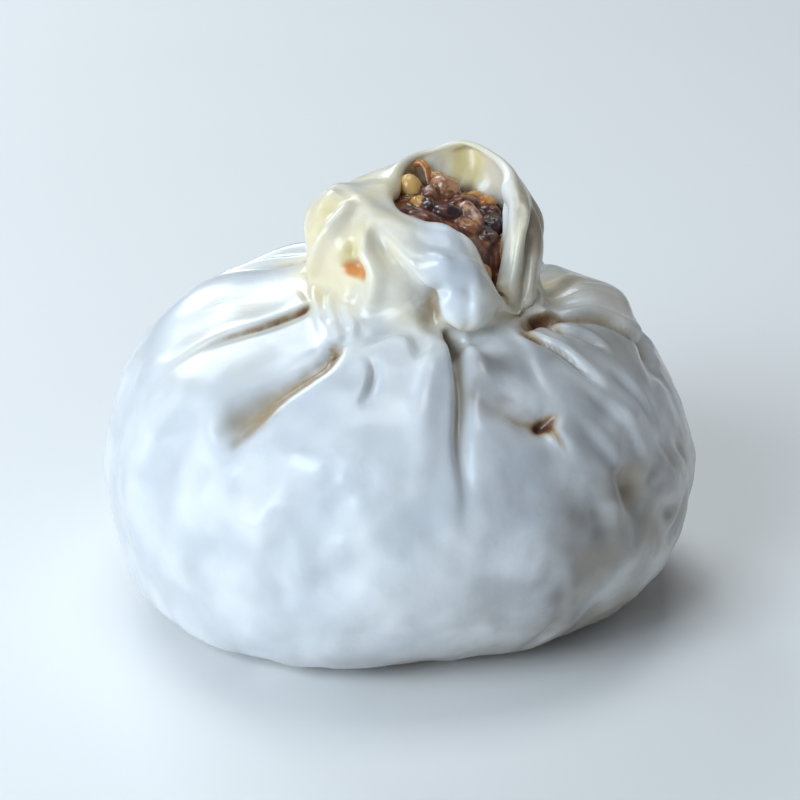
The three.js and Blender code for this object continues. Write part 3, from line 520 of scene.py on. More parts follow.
FRILL_AMBER = Spots(0.9, (
    ((-163, 12.85), 1.7), ((-159, 12.0), 2.1), ((-130, 12.0), 1.5), ((-131, 11.5), 1.3),
    ((120, 11.6), 1.8), ((172, 12.2), 1.6)))
MOUTH_AMBER = Spots(1.0, (
    ((60, 13.6), 1.6), ((57, 13.3), 1.8), ((55, 12.9), 1.6), ((52, 12.1), 1.4), ((145, 13.0), 1.4)))
FILLING_PEEK = Spots(1.5, (((-126, 11.05), 0.95), ((-120, 11.1), 0.8), ((-132, 11.1), 0.8)))
# Painted highlight: whiter spots along the frill's left ridge.
RIDGE_PAINTED_HIGHLIGHT = Spots(0.7, (((-150, 12.9), 1.3), ((-146, 12.4), 1.3), ((-148, 11.7), 1.2), ((-153, 11.1), 1.1)))
# Painted shade, with some see-through grey: dark spots in the right hollow, on the right shoulder, low on the
# right, along the right pocket, in the left pocket and over its lit lip.
VEIL_AND_SHADE_SPOTS = (
    Spots(1.5, (((-42, 5.8), 2.4), ((-38, 5.45), 2.2))),
    Spots(0.5, (((-24, 8.0), 3.0), ((-12, 7.2), 3.0), ((-44, 7.9), 2.5))),
    Spots(0.8, (((-55, 5.65), 1.5), ((-41, 4.7), 2.4), ((-47, 4.1), 2.2), ((-59, 4.2), 1.8),
                ((-37, 5.15), 1.8))),
    Spots(1.5, (((-71, 7.6), 1.2), ((-68, 7.42), 1.3), ((-65, 7.28), 1.2), ((-61.5, 7.13), 1.1),
                ((-66, 7.9), 2.2))),
    Spots(0.9, (((-116, 8.0), 0.6), ((-117.7, 7.78), 0.8), ((-119.8, 7.55), 1.0), ((-122.3, 7.32), 1.3),
                ((-125, 7.1), 1.7), ((-128, 6.88), 1.5))),
    Spots(1.5, (((-115.6, 7.95), 0.5), ((-116.2, 7.72), 0.6), ((-117, 7.5), 0.65), ((-118, 7.32), 0.7),
                ((-119.2, 7.15), 0.75), ((-120.6, 7.0), 0.8), ((-122.4, 6.83), 0.8), ((-124.6, 6.64), 0.8))),
)
CREAMY_PLEATS = ((28, 9), (76, 8), (106, 9), (150, 10), (190, 9))


@dataclass(frozen=True)
class Uneven:
    """Smooth unevenness of a surface: its height and width of a lump in mm, its layers and its pattern."""

    height: float
    size: float
    octaves: int
    seed: float

    def over(self, points: np.ndarray) -> np.ndarray:
        """The height at each point, in mm."""
        return self.height * lumps(points, self.size, self.octaves, self.seed)


@dataclass
class Gathers:
    """The smaller creases that radiate from the drawn neck, down the shoulder and up the frill."""

    seed: int = 7
    down: int = 34
    up: int = 20
    calm: tuple = (134.0, 272.0)
    calm_share: float = 0.0

    def strength(self, azimuth: float) -> float:
        """How strong a crease is at an azimuth: less where the large folds of the front left lie."""
        start, end = self.calm
        return self.calm_share if (azimuth - start) % 360 < end - start else 1.0

    def crease(self, rng: np.random.Generator, name: str, azimuth: float, levels: tuple,
               depth: tuple, width: tuple) -> Fold:
        """Makes one crease.

        Args:
            rng: The seeded source of its uneven sizes.
            name: Its name.
            azimuth: Where it starts.
            levels: The levels where it starts and ends.
            depth: Its least and greatest depth in mm.
            width: Its least and greatest width in mm.

        Returns:
            The crease as a fold.
        """
        start, end = levels
        drift = rng.uniform(-8, 8)
        path = ((azimuth, start), (azimuth + 0.3 * drift, (start + end) / 2), (azimuth + drift, end))
        scale = self.strength(azimuth)
        return Fold(name, path, depth=scale * rng.uniform(*depth), width=rng.uniform(*width),
                    side=Side.LEFT if rng.random() < 0.5 else Side.RIGHT, lip=scale * rng.uniform(0.08, 0.3),
                    lip_width=1.2, fade_in=0.2, fade_out=0.7, steep=0.7, stain_and_shade=scale * rng.uniform(0, 0.12))

    def folds(self) -> list:
        """Makes the creases.

        Returns:
            Folds, evenly spread round the neck with uneven lengths and depths.
        """
        rng = np.random.default_rng(self.seed)
        made = []
        for i in range(self.down):
            azimuth = 360.0 * (i + rng.uniform(-0.35, 0.35)) / self.down
            levels = (rng.uniform(9.0, 9.7), rng.uniform(6.9, 8.2))
            made.append(self.crease(rng, f"shoulder gather {i}", azimuth, levels, (0.12, 0.45), (0.5, 1.1)))
        for i in range(self.up):
            azimuth = 360.0 * (i + rng.uniform(-0.35, 0.35)) / self.up
            levels = (rng.uniform(9.2, 9.8), rng.uniform(10.8, 12.4))
            made.append(self.crease(rng, f"frill gather {i}", azimuth, levels, (0.1, 0.35), (0.5, 1.0)))
        return made


# ---- the dough's surface ------------------------------------------------------------------------------
@dataclass
class DoughSurface:
    """The dough's outer surface, as a grid of rows (levels) by columns (azimuths).

    A level is a place between the rings: 7.5 is half way from the seventh ring to the eighth.
    """

    columns: int
    rows_per_span: tuple
    crowding: float = 0.3
    front: float = -95.0
    track_places: int = 40
    azimuth: np.ndarray = field(init=False)
    levels: np.ndarray = field(init=False)
    base: np.ndarray = field(init=False)
    normal: np.ndarray = field(init=False)
    points: np.ndarray = field(init=False)
    hollow: np.ndarray = field(init=False)
    pressed: np.ndarray = field(init=False)
    stain_and_shade: np.ndarray = field(init=False)

    def __post_init__(self) -> None:
        """Lays the bare surface through the rings."""
        even = np.arange(self.columns) * 360.0 / self.columns
        self.azimuth = even - np.degrees(self.crowding * np.sin(np.radians(even - self.front)))
        steps = [k + i / n for k, n in enumerate(self.rows_per_span) for i in range(n)]
        self.levels = np.array(steps + [float(RIM)])
        self.rings = np.array([ring.trace(self.azimuth) for ring in RINGS])
        lengths = np.linalg.norm(np.diff(self.rings, axis=0), axis=-1).mean(axis=1) ** 0.75
        slope = np.diff(self.rings, axis=0) / lengths[:, None, None]
        self.lengths = lengths
        self.tangents = np.empty_like(self.rings)
        self.tangents[0], self.tangents[-1] = slope[0], slope[-1]
        before, after = lengths[:-1, None, None], lengths[1:, None, None]
        self.tangents[1:-1] = (slope[:-1] * after + slope[1:] * before) / (before + after)
        self.base = np.array([self.row(level) for level in self.levels])
        self.normal = self.normals(self.base)
        self.points = self.base.copy()
        self.stain_and_shade = np.zeros(self.base.shape[:2])

    def row(self, level: float) -> np.ndarray:
        """The bare surface at one level.

        Args:
            level: The level.

        Returns:
            Its ring of points, in mm.
        """
        k = min(int(level), RIM - 1)
        points = hermite(self.rings[k], self.tangents[k], self.rings[k + 1], self.tangents[k + 1],
                         level - k, self.lengths[k])
        points[:, 2] = np.maximum(points[:, 2], 0.0)
        return points

    def normals(self, grid: np.ndarray) -> np.ndarray:
        """Outward normals of a grid of points.

        Args:
            grid: The points for every row and column.

        Returns:
            A normal for each.
        """
        across = np.roll(grid, -1, axis=1) - np.roll(grid, 1, axis=1)
        up = np.gradient(grid, axis=0)
        out = np.cross(across, up)
        out[0] = (0.0, 0.0, -1.0)
        return unit(out)

    def column_of(self, azimuth: float) -> float:
        """The column that lies at an azimuth, with its fraction.

        Args:
            azimuth: The azimuth in degrees.

        Returns:
            The column.
        """
        turned = (self.azimuth - self.azimuth[0]) % 360.0
        here = (azimuth - self.azimuth[0]) % 360.0
        return float(np.interp(here, np.append(turned, 360.0), np.arange(self.columns + 1)))

    def at(self, grid: np.ndarray, azimuth: float, level: float) -> np.ndarray:
        """A grid's value between its points.

        Args:
            grid: A value for every row and column.
            azimuth: The place's azimuth in degrees.
            level: The place's level.

        Returns:
            The value there.
        """
        v = float(np.interp(level, self.levels, np.arange(len(self.levels))))
        row = min(int(v), len(self.levels) - 2)
        u = self.column_of(azimuth)
        left, right = int(u) % self.columns, (int(u) + 1) % self.columns
        fu, fv = u - int(u), v - row
        low = grid[row, left] * (1 - fu) + grid[row, right] * fu
        high = grid[row + 1, left] * (1 - fu) + grid[row + 1, right] * fu
        return low * (1 - fv) + high * fv

    def press(self, folds: tuple, dents: tuple, softening: int = 3) -> None:
        """Presses folds and dents into the surface.

        Args:
            folds: The folds, in any order.
            dents: The dents and bumps.
            softening: How many times the offsets are evened out.
        """
        flat, out = self.base.reshape(-1, 3), self.normal.reshape(-1, 3)
        lift = np.zeros(len(flat))
        shift = np.zeros_like(flat)
        stain_and_shade = np.zeros(len(flat))
        for fold in folds:
            self.press_fold(fold, flat, out, lift, shift, stain_and_shade)
        for dent in dents:
            self.press_dent(dent, flat, out, lift, stain_and_shade)
        offset = (out * lift[:, None] + shift).reshape(self.base.shape)
        for _ in range(softening):
            even = offset.copy()
            even[1:-1] = (offset[2:] + offset[:-2] + np.roll(offset, 1, 1)[1:-1]
                          + np.roll(offset, -1, 1)[1:-1]) / 4
            offset = (offset + even) / 2
        self.hollow = np.maximum(-(offset * self.normal).sum(-1), 0.0)
        self.pressed = self.spread(self.hollow.copy())
        self.points = self.base + offset
        self.settle()
        self.stain_and_shade = np.clip(stain_and_shade, 0, 1).reshape(self.base.shape[:2])

    def settle(self) -> None:
        """Keeps the surface on or above the floor, and its flat sole on it."""
        self.points[..., 2] = np.maximum(self.points[..., 2], 0.0)
        self.points[self.base[..., 2] <= 1e-6, 2] = 0.0

    def spread(self, depth: np.ndarray, reach: int = 7, softening: int = 6) -> np.ndarray:
        """Widens and evens out a depth over the grid, so that an inner skin stays clear of it.

        Args:
            depth: Depth at each point in mm.
            reach: How many points it is widened by.
            softening: How many times it is evened out.

        Returns:
            The widened depth.
        """
        for _ in range(reach):
            sides = np.maximum(np.roll(depth, 1, 1), np.roll(depth, -1, 1))
            depth = np.maximum(depth, sides)
        for _ in range(reach // 2):
            depth[1:-1] = np.maximum(depth[1:-1], np.maximum(depth[2:], depth[:-2]))
        for _ in range(softening):
            depth = (np.roll(depth, 1, 1) + depth + np.roll(depth, -1, 1)) / 3
            depth[1:-1] = (depth[2:] + depth[1:-1] + depth[:-2]) / 3
        return depth

    def press_fold(self, fold: Fold, flat: np.ndarray, out: np.ndarray, lift: np.ndarray,
                   shift: np.ndarray, stain_and_shade: np.ndarray) -> None:
        """Adds one fold to the running lift, sideways shift and stain_and_shade: soaking and painted shade.

        Args:
            fold: The fold.
            flat: The bare surface's points.
            out: Its normals.
            lift: Height added along the normals, changed in place.
            shift: Movement added sideways, changed in place.
            stain_and_shade: How soaked the dough is and how much painted shade it has, changed in place.
        """
        places = through(fold.path, self.track_places)
        track = np.array([self.at(self.base, a, v) for a, v in places])
        track_out = unit(np.array([self.at(self.normal, a, v) for a, v in places]))
        across = unit(np.cross(track_out, np.gradient(track, axis=0)))
        reach = 3 * max(fold.width, fold.lip_width)
        inside = (flat > track.min(0) - reach) & (flat < track.max(0) + reach)
        near = np.where(inside.all(axis=1))[0]
        if not len(near):
            return
        place = Nearest.to(track, flat[near])
        share, sideways = place.share, across[place.index]
        side = (place.offset * sideways).sum(1)
        signed = np.where(side >= 0, 1, -1) * place.distance * fold.side.value
        facing = (out[near] * track_out[place.index]).sum(1) > 0
        strength = smooth(share / fold.fade_in) * smooth((1 - share) / fold.fade_out) * facing
        grow = fold.taper + (1 - fold.taper) * share
        near_width, far_width = fold.width * fold.steep * grow, fold.width * grow
        valley = np.exp(-((signed / np.where(signed > 0, near_width, far_width)) ** 2))
        crest = 1.4 * fold.width * fold.steep
        beyond = np.maximum(signed, 0)
        lip = np.where(signed > 0, smooth(signed / crest) * np.exp(-((beyond / fold.lip_width) ** 2)), 0)
        lift[near] += strength * (-fold.depth * np.sqrt(grow) * valley + fold.lip * lip)
        if fold.overlap:
            over = np.where(signed > crest, np.exp(-(((signed - crest) / (0.8 * fold.lip_width)) ** 2)),
                            smooth(signed / crest))
            shift[near] -= (fold.side.value * fold.overlap * strength * over)[:, None] * sideways
        # Soaking and painted shade along the valley, centred a little towards the lip.
        end_stain_and_shade = fold.stain_and_shade if fold.stain_and_shade_end is None else fold.stain_and_shade_end
        soaked_and_shaded = fold.stain_and_shade + (end_stain_and_shade - fold.stain_and_shade) * share
        mark = fold.mark * fold.width * grow
        stain_and_shade[near] += soaked_and_shaded * strength * np.exp(-(((signed - 0.3 * mark) / mark) ** 2))

    def press_dent(self, dent: Dent, flat: np.ndarray, out: np.ndarray, lift: np.ndarray,
                   stain_and_shade: np.ndarray) -> None:
        """Adds one dent to the running lift and stain.

        Args:
            dent: The dent.
            flat: The bare surface's points.
            out: Its normals.
            lift: Height added along the normals, changed in place.
            stain_and_shade: How soaked the dough is and how much painted shade it has, changed in place.
        """
        azimuth, level = dent.place
        centre = self.at(self.base, azimuth, level)
        normal = unit(self.at(self.normal, azimuth, level))
        east = unit(self.at(self.base, azimuth + 1.0, level) - centre)
        north = np.cross(normal, east)
        turn = math.radians(dent.turn)
        first = east * math.cos(turn) + north * math.sin(turn)
        second = north * math.cos(turn) - east * math.sin(turn)
        offset = flat - centre
        depth_reach = 2 * max(dent.across, dent.along)
        square = ((offset @ first) / dent.across) ** 2 + ((offset @ second) / dent.along) ** 2
        share = np.exp(-square - ((offset @ normal) / depth_reach) ** 2) * ((out @ normal) > 0)
        lift -= dent.depth * share
        stain_and_shade += dent.stain_and_shade * share


# ---- meshes -------------------------------------------------------------------------------------------
def closed_skin(first: np.ndarray, rings: list, last: np.ndarray) -> tuple:
    """Joins rings into a closed skin, ended by one point at each side.

    Args:
        first: The point at the start.
        rings: Arrays of points in order. A ring may have half as many points as the one before it.
        last: The point at the end.

    Returns:
        The vertices as one array and the faces as a list of index tuples.
    """
    sizes = [len(ring) for ring in rings]
    starts = np.concatenate([[1], 1 + np.cumsum(sizes)])
    vertices = np.concatenate([[first], *rings, [last]])
    faces = []
    i = np.arange(sizes[0])
    faces += [(0, a, b) for b, a in zip(starts[0] + i, starts[0] + (i + 1) % sizes[0])]
    for k in range(len(rings) - 1):
        n, m = sizes[k], sizes[k + 1]
        low, high = starts[k], starts[k + 1]
        j = np.arange(m)
        if n == m:
            quads = np.stack([low + j, low + (j + 1) % n, high + (j + 1) % m, high + j], axis=1)
            faces += [tuple(q) for q in quads.tolist()]
        else:
            for s in range(m):
                a, b, c = low + 2 * s, low + 2 * s + 1, low + (2 * s + 2) % n
                p, q = high + s, high + (s + 1) % m
                faces += [(a, b, p), (b, q, p), (b, c, q)]
    top = starts[-2] + np.arange(sizes[-1])
    end = len(vertices) - 1
    faces += [(end, a, b) for a, b in zip(top, np.roll(top, -1))]
    return vertices, [tuple(int(v) for v in f) for f in faces]


def joined(skins: list) -> tuple:
    """Puts several skins into one list of vertices and faces.

    Args:
        skins: Pairs of vertices (in mm) and faces.

    Returns:
        All the vertices as one array and all the faces, renumbered.
    """
    faces, start = [], 0
    for vertices, skin in skins:
        faces += [tuple(v + start for v in face) for face in skin]
        start += len(vertices)
    return np.concatenate([vertices for vertices, _ in skins]), faces


def mesh_object(name: str, vertices: np.ndarray, faces: list) -> bpy.types.Object:
    """Makes a smooth-shaded object at the origin from points in millimetres.

    Args:
        name: The object's name.
        vertices: Points in mm.
        faces: Index tuples.

    Returns:
        The object, linked to the scene.
    """
    mesh = bpy.data.meshes.new(name)
    mesh.from_pydata((np.asarray(vertices) * MM).tolist(), [], faces)
    mesh.validate()
    mesh.polygons.foreach_set("use_smooth", [True] * len(mesh.polygons))
    mesh.update()
    obj = bpy.data.objects.new(name, mesh)
    bpy.context.scene.collection.objects.link(obj)
    return obj


def give_attribute(obj: bpy.types.Object, name: str, values: np.ndarray) -> None:
    """Stores one number per vertex for a material to read."""
    layer = obj.data.attributes.new(name, "FLOAT", "POINT")
    layer.data.foreach_set("value", np.asarray(values, dtype=np.float32).ravel())


def triangles(obj: bpy.types.Object) -> int:
    """How many triangles a mesh has."""
    return sum(len(p.vertices) - 2 for p in obj.data.polygons)


def deliver(obj: bpy.types.Object) -> bpy.types.Object:
    """Binds a finished piece to the dumpling's one body."""
    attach(obj, ROOT)
    LOG.info("%s: %d triangles", obj.name, triangles(obj))
    return obj


# ---- materials ----------------------------------------------------------------------------------------
class Board:
    """A material's node tree, with short calls to add nodes and join them."""

    def __init__(self, name: str) -> None:
        """Starts an empty material.

        Args:
            name: The material's name.
        """
        self.material = bpy.data.materials.new(name)
        self.material.use_nodes = True
        self.tree = self.material.node_tree
        self.shader = self.tree.nodes["Principled BSDF"]
        self.place = self.tree.nodes.new("ShaderNodeTexCoord").outputs["Object"]

    def add(self, kind: str, settings: dict | None = None, **inputs: object) -> bpy.types.Node:
        """Adds a node.

        Args:
            kind: The node's type.
            settings: Properties of the node.
            **inputs: Values or sockets for its inputs, by name with _ for a space.

        Returns:
            The node.
        """
        node = self.tree.nodes.new(kind)
        for key, value in (settings or {}).items():
            setattr(node, key, value)
        for key, value in inputs.items():
            self.feed(node.inputs[key.replace("_", " ")], value)
        return node

    def feed(self, socket: bpy.types.NodeSocket, value: object) -> None:
        """Sets a socket, or links another one to it."""
        if isinstance(value, bpy.types.NodeSocket):
            self.tree.links.new(value, socket)
        else:
            socket.default_value = value

    def noise(self, size: float, detail: float = 3.0, rough: float = 0.5,
              warp: float = 0.0) -> bpy.types.NodeSocket:
        """Noise with lumps of a size in mm, from 0 to 1."""
        node = self.add("ShaderNodeTexNoise", Vector=self.place, Scale=1.0 / (size * MM), Detail=detail,
                        Roughness=rough, Distortion=warp)
        return node.outputs["Fac"]

    def reading(self, name: str) -> bpy.types.NodeSocket:
        """A number that the mesh stores at its vertices."""
        return self.add("ShaderNodeAttribute", {"attribute_name": name}).outputs["Fac"]

    def remap(self, value: bpy.types.NodeSocket, low: float, high: float, to_low: float = 0.0,
              to_high: float = 1.0) -> bpy.types.NodeSocket:
        """Stretches a range onto another, held at its ends."""
        node = self.add("ShaderNodeMapRange", {"interpolation_type": "SMOOTHSTEP"}, Value=value,
                        From_Min=low, From_Max=high, To_Min=to_low, To_Max=to_high)
        return node.outputs["Result"]

    def maths(self, operation: str, first: object, second: object = 0.0) -> bpy.types.NodeSocket:
        """One sum of two numbers."""
        node = self.add("ShaderNodeMath", {"operation": operation})
        self.feed(node.inputs[0], first)
        self.feed(node.inputs[1], second)
        return node.outputs[0]

    def blend(self, share: object, first: object, second: object) -> bpy.types.NodeSocket:
        """A mix of two colours.

        Args:
            share: How much of the second colour there is.
            first: The first colour, or a socket.
            second: The second colour, or a socket.

        Returns:
            The mixed colour's socket.
        """
        node = self.add("ShaderNodeMix", {"data_type": "RGBA"})
        self.feed(node.inputs[0], share)
        self.feed(node.inputs[6], first)
        self.feed(node.inputs[7], second)
        return node.outputs[2]

    def relief(self, height: bpy.types.NodeSocket, depth: float, strength: float,
               below: bpy.types.NodeSocket | None = None) -> bpy.types.NodeSocket:
        """Fine relief, depth mm high, on top of other relief."""
        node = self.add("ShaderNodeBump", Height=height, Distance=depth * MM, Strength=strength)
        if below:
            self.feed(node.inputs["Normal"], below)
        return node.outputs["Normal"]


@dataclass(frozen=True)
class DoughFinish:
    """Steamed wheat dough: white, moist and a little see-through, soaked brown where it meets filling, with
    painted shade in its creases, pockets and shaded side and a painted highlight on some ridges.
    """

    white: tuple = (0.775, 0.81, 0.855, 1)
    cream: tuple = (0.85, 0.75, 0.535, 1)
    amber: tuple = (0.74, 0.62, 0.32, 1)
    # veil_and_shade and warm_veil_and_shade: see-through grey and painted shade; shade: painted crease shade.
    veil_and_shade: tuple = (0.285, 0.27, 0.265, 1)
    warm_veil_and_shade: tuple = (0.34, 0.29, 0.225, 1)
    grey: tuple = (0.60, 0.65, 0.72, 1)
    shade: tuple = (0.48, 0.41, 0.31, 1)
    orange: tuple = (0.70, 0.30, 0.08, 1)
    # beige, soaked_and_shaded and dark: soaking and painted shade in folds, from light to dark.
    beige: tuple = (0.42, 0.32, 0.20, 1)
    soaked_and_shaded: tuple = (0.20, 0.085, 0.035, 1)
    dark: tuple = (0.045, 0.018, 0.012, 1)

    def material(self) -> bpy.types.Material:
        """Builds the material.

        Returns:
            A material that reads the piece's cream, amber, peek, veil_and_shade, hollow and soak_and_shade
            attributes; veil_and_shade, hollow and soak_and_shade carry painted shade, and cream a painted
            highlight.
        """
        b = Board("dough")
        creamy = b.maths("MULTIPLY", b.reading("cream"), b.remap(b.noise(5.0, 2), 0.25, 0.6, 0.6, 1.0))
        cloud = b.maths("MULTIPLY", b.remap(b.noise(5.8, 1, 0.35, 0.3), 0.32, 0.68), 0.8)
        colour = b.blend(creamy, b.blend(cloud, self.white, self.grey), self.cream)
        colour = b.blend(b.reading("amber"), colour, self.amber)
        # See-through grey and painted shade, in grey and warm patches.
        thin = b.reading("veil_and_shade")
        patches = b.remap(b.noise(5.8, 2, 0.35, 0.3), 0.28, 0.66, 0.36, 1.02)
        tint = b.blend(b.remap(b.noise(9.0, 2), 0.34, 0.56), self.veil_and_shade, self.warm_veil_and_shade)
        colour = b.blend(b.maths("MULTIPLY", patches, thin), colour, tint)
        mottle = b.remap(b.noise(2.4, 3), 0.38, 0.7, 0.0, 0.4)
        colour = b.blend(b.maths("MULTIPLY", mottle, thin), colour, self.veil_and_shade)
        # Painted shade: creases and hollows darkened by their depth.
        colour = b.blend(b.remap(b.reading("hollow"), 0.1, 0.9, 0.0, 0.75), colour, self.shade)
        colour = b.blend(b.remap(b.reading("peek"), 0.15, 1.0), colour, self.orange)
        # Soaking and painted shade, from beige to dark brown.
        ragged = b.maths("MULTIPLY", b.reading("soak_and_shade"), b.remap(b.noise(1.5, 3, 0.6), 0.25, 0.65, 0.75, 1.2))
        colour = b.blend(b.remap(ragged, 0.05, 0.55), colour, self.beige)
        colour = b.blend(b.remap(ragged, 0.4, 0.85), colour, self.soaked_and_shaded)
        colour = b.blend(b.remap(ragged, 0.8, 1.25), colour, self.dark)
        b.feed(b.shader.inputs["Base Color"], colour)
        b.feed(b.shader.inputs["Roughness"], b.remap(b.noise(3.6, 4, 0.6, 0.3), 0.35, 0.68, 0.3, 0.5))
        b.shader.inputs["IOR"].default_value = 1.42
        b.shader.inputs["Subsurface Weight"].default_value = 0.30
        b.shader.inputs["Subsurface Radius"].default_value = (1.0, 0.85, 0.7)
        b.shader.inputs["Subsurface Scale"].default_value = 0.0018
        b.shader.inputs["Coat Weight"].default_value = 0.6
        b.shader.inputs["Coat Roughness"].default_value = 0.2
        grain = b.relief(b.noise(2.6, 3, 0.5), 0.22, 0.5)
        fine = b.relief(b.noise(0.35, 3, 0.6), 0.02, 0.3, grain)
        b.feed(b.shader.inputs["Normal"], fine)
        return b.material


@dataclass(frozen=True)
class FillingFinish:
    """A wet, soy-coloured piece of filling, with its colours from light to dark."""

    name: str
    light: tuple
    middle: tuple
    dark: tuple
    patch: float = 1.2
    grain: float = 0.3
    glow: float = 0.25
    tooth: float = 0.5

    def material(self) -> bpy.types.Material:
        """Builds the material.

        Returns:
            A material that reads the piece's tone attribute, one number for each grain or dice.
        """
        b = Board(self.name)
        tone = b.maths("ADD", b.reading("tone"), b.remap(b.noise(self.patch, 3), 0.3, 0.7, -0.25, 0.25))
        colour = b.blend(b.remap(tone, 0.1, 0.5), self.light, self.middle)
        colour = b.blend(b.remap(tone, 0.5, 0.95), colour, self.dark)
        b.feed(b.shader.inputs["Base Color"], colour)
        b.feed(b.shader.inputs["Roughness"], b.remap(b.noise(0.8, 3), 0.3, 0.7, 0.29, 0.42))
        b.shader.inputs["IOR"].default_value = 1.45
        b.shader.inputs["Subsurface Weight"].default_value = self.glow
        b.shader.inputs["Subsurface Radius"].default_value = (1.0, 0.55, 0.3)
        b.shader.inputs["Subsurface Scale"].default_value = 0.0015
        b.shader.inputs["Coat Weight"].default_value = 0.6
        b.shader.inputs["Coat Roughness"].default_value = 0.06
        b.feed(b.shader.inputs["Normal"], b.relief(b.noise(self.grain, 3), 0.04, self.tooth))
        return b.material


@dataclass(frozen=True)
class FloorFinish:
    """A plain pale floor with a soft, barely seen tooth."""

    colour: tuple = (0.93, 0.92, 0.90, 1)

    def material(self) -> bpy.types.Material:
        """Builds the material."""
        b = Board("floor")
        shade = tuple(0.97 * c for c in self.colour[:3]) + (1,)
        b.feed(b.shader.inputs["Base Color"], b.blend(b.noise(60.0, 2), self.colour, shade))
        b.shader.inputs["Roughness"].default_value = 0.6
        b.feed(b.shader.inputs["Normal"], b.relief(b.noise(0.6, 2), 0.02, 0.2))
        return b.material


# ---- the dough ----------------------------------------------------------------------------------------
@dataclass
class DoughPlaces:
    """Where each vertex of the dough lies, for colouring it.

    The inner share is 0 on the outside, 1 on the inside and between them on the rim. The azimuth is taken
    about the neck, and the belly's azimuth about the belly.
    """

    vertices: np.ndarray
    level: np.ndarray
    inner: np.ndarray
    x: np.ndarray = field(init=False)
    y: np.ndarray = field(init=False)
    z: np.ndarray = field(init=False)
    azimuth: np.ndarray = field(init=False)
    belly_azimuth: np.ndarray = field(init=False)
    outside: np.ndarray = field(init=False)

    def __post_init__(self) -> None:
        """Works out the azimuths, and the share that lies outside."""
        self.x, self.y, self.z = self.vertices.T
        self.azimuth = np.degrees(np.arctan2(self.y - NECK[1], self.x - NECK[0]))
        self.belly_azimuth = np.degrees(np.arctan2(self.y, self.x))
        self.outside = 1 - smooth(self.inner / 0.5)


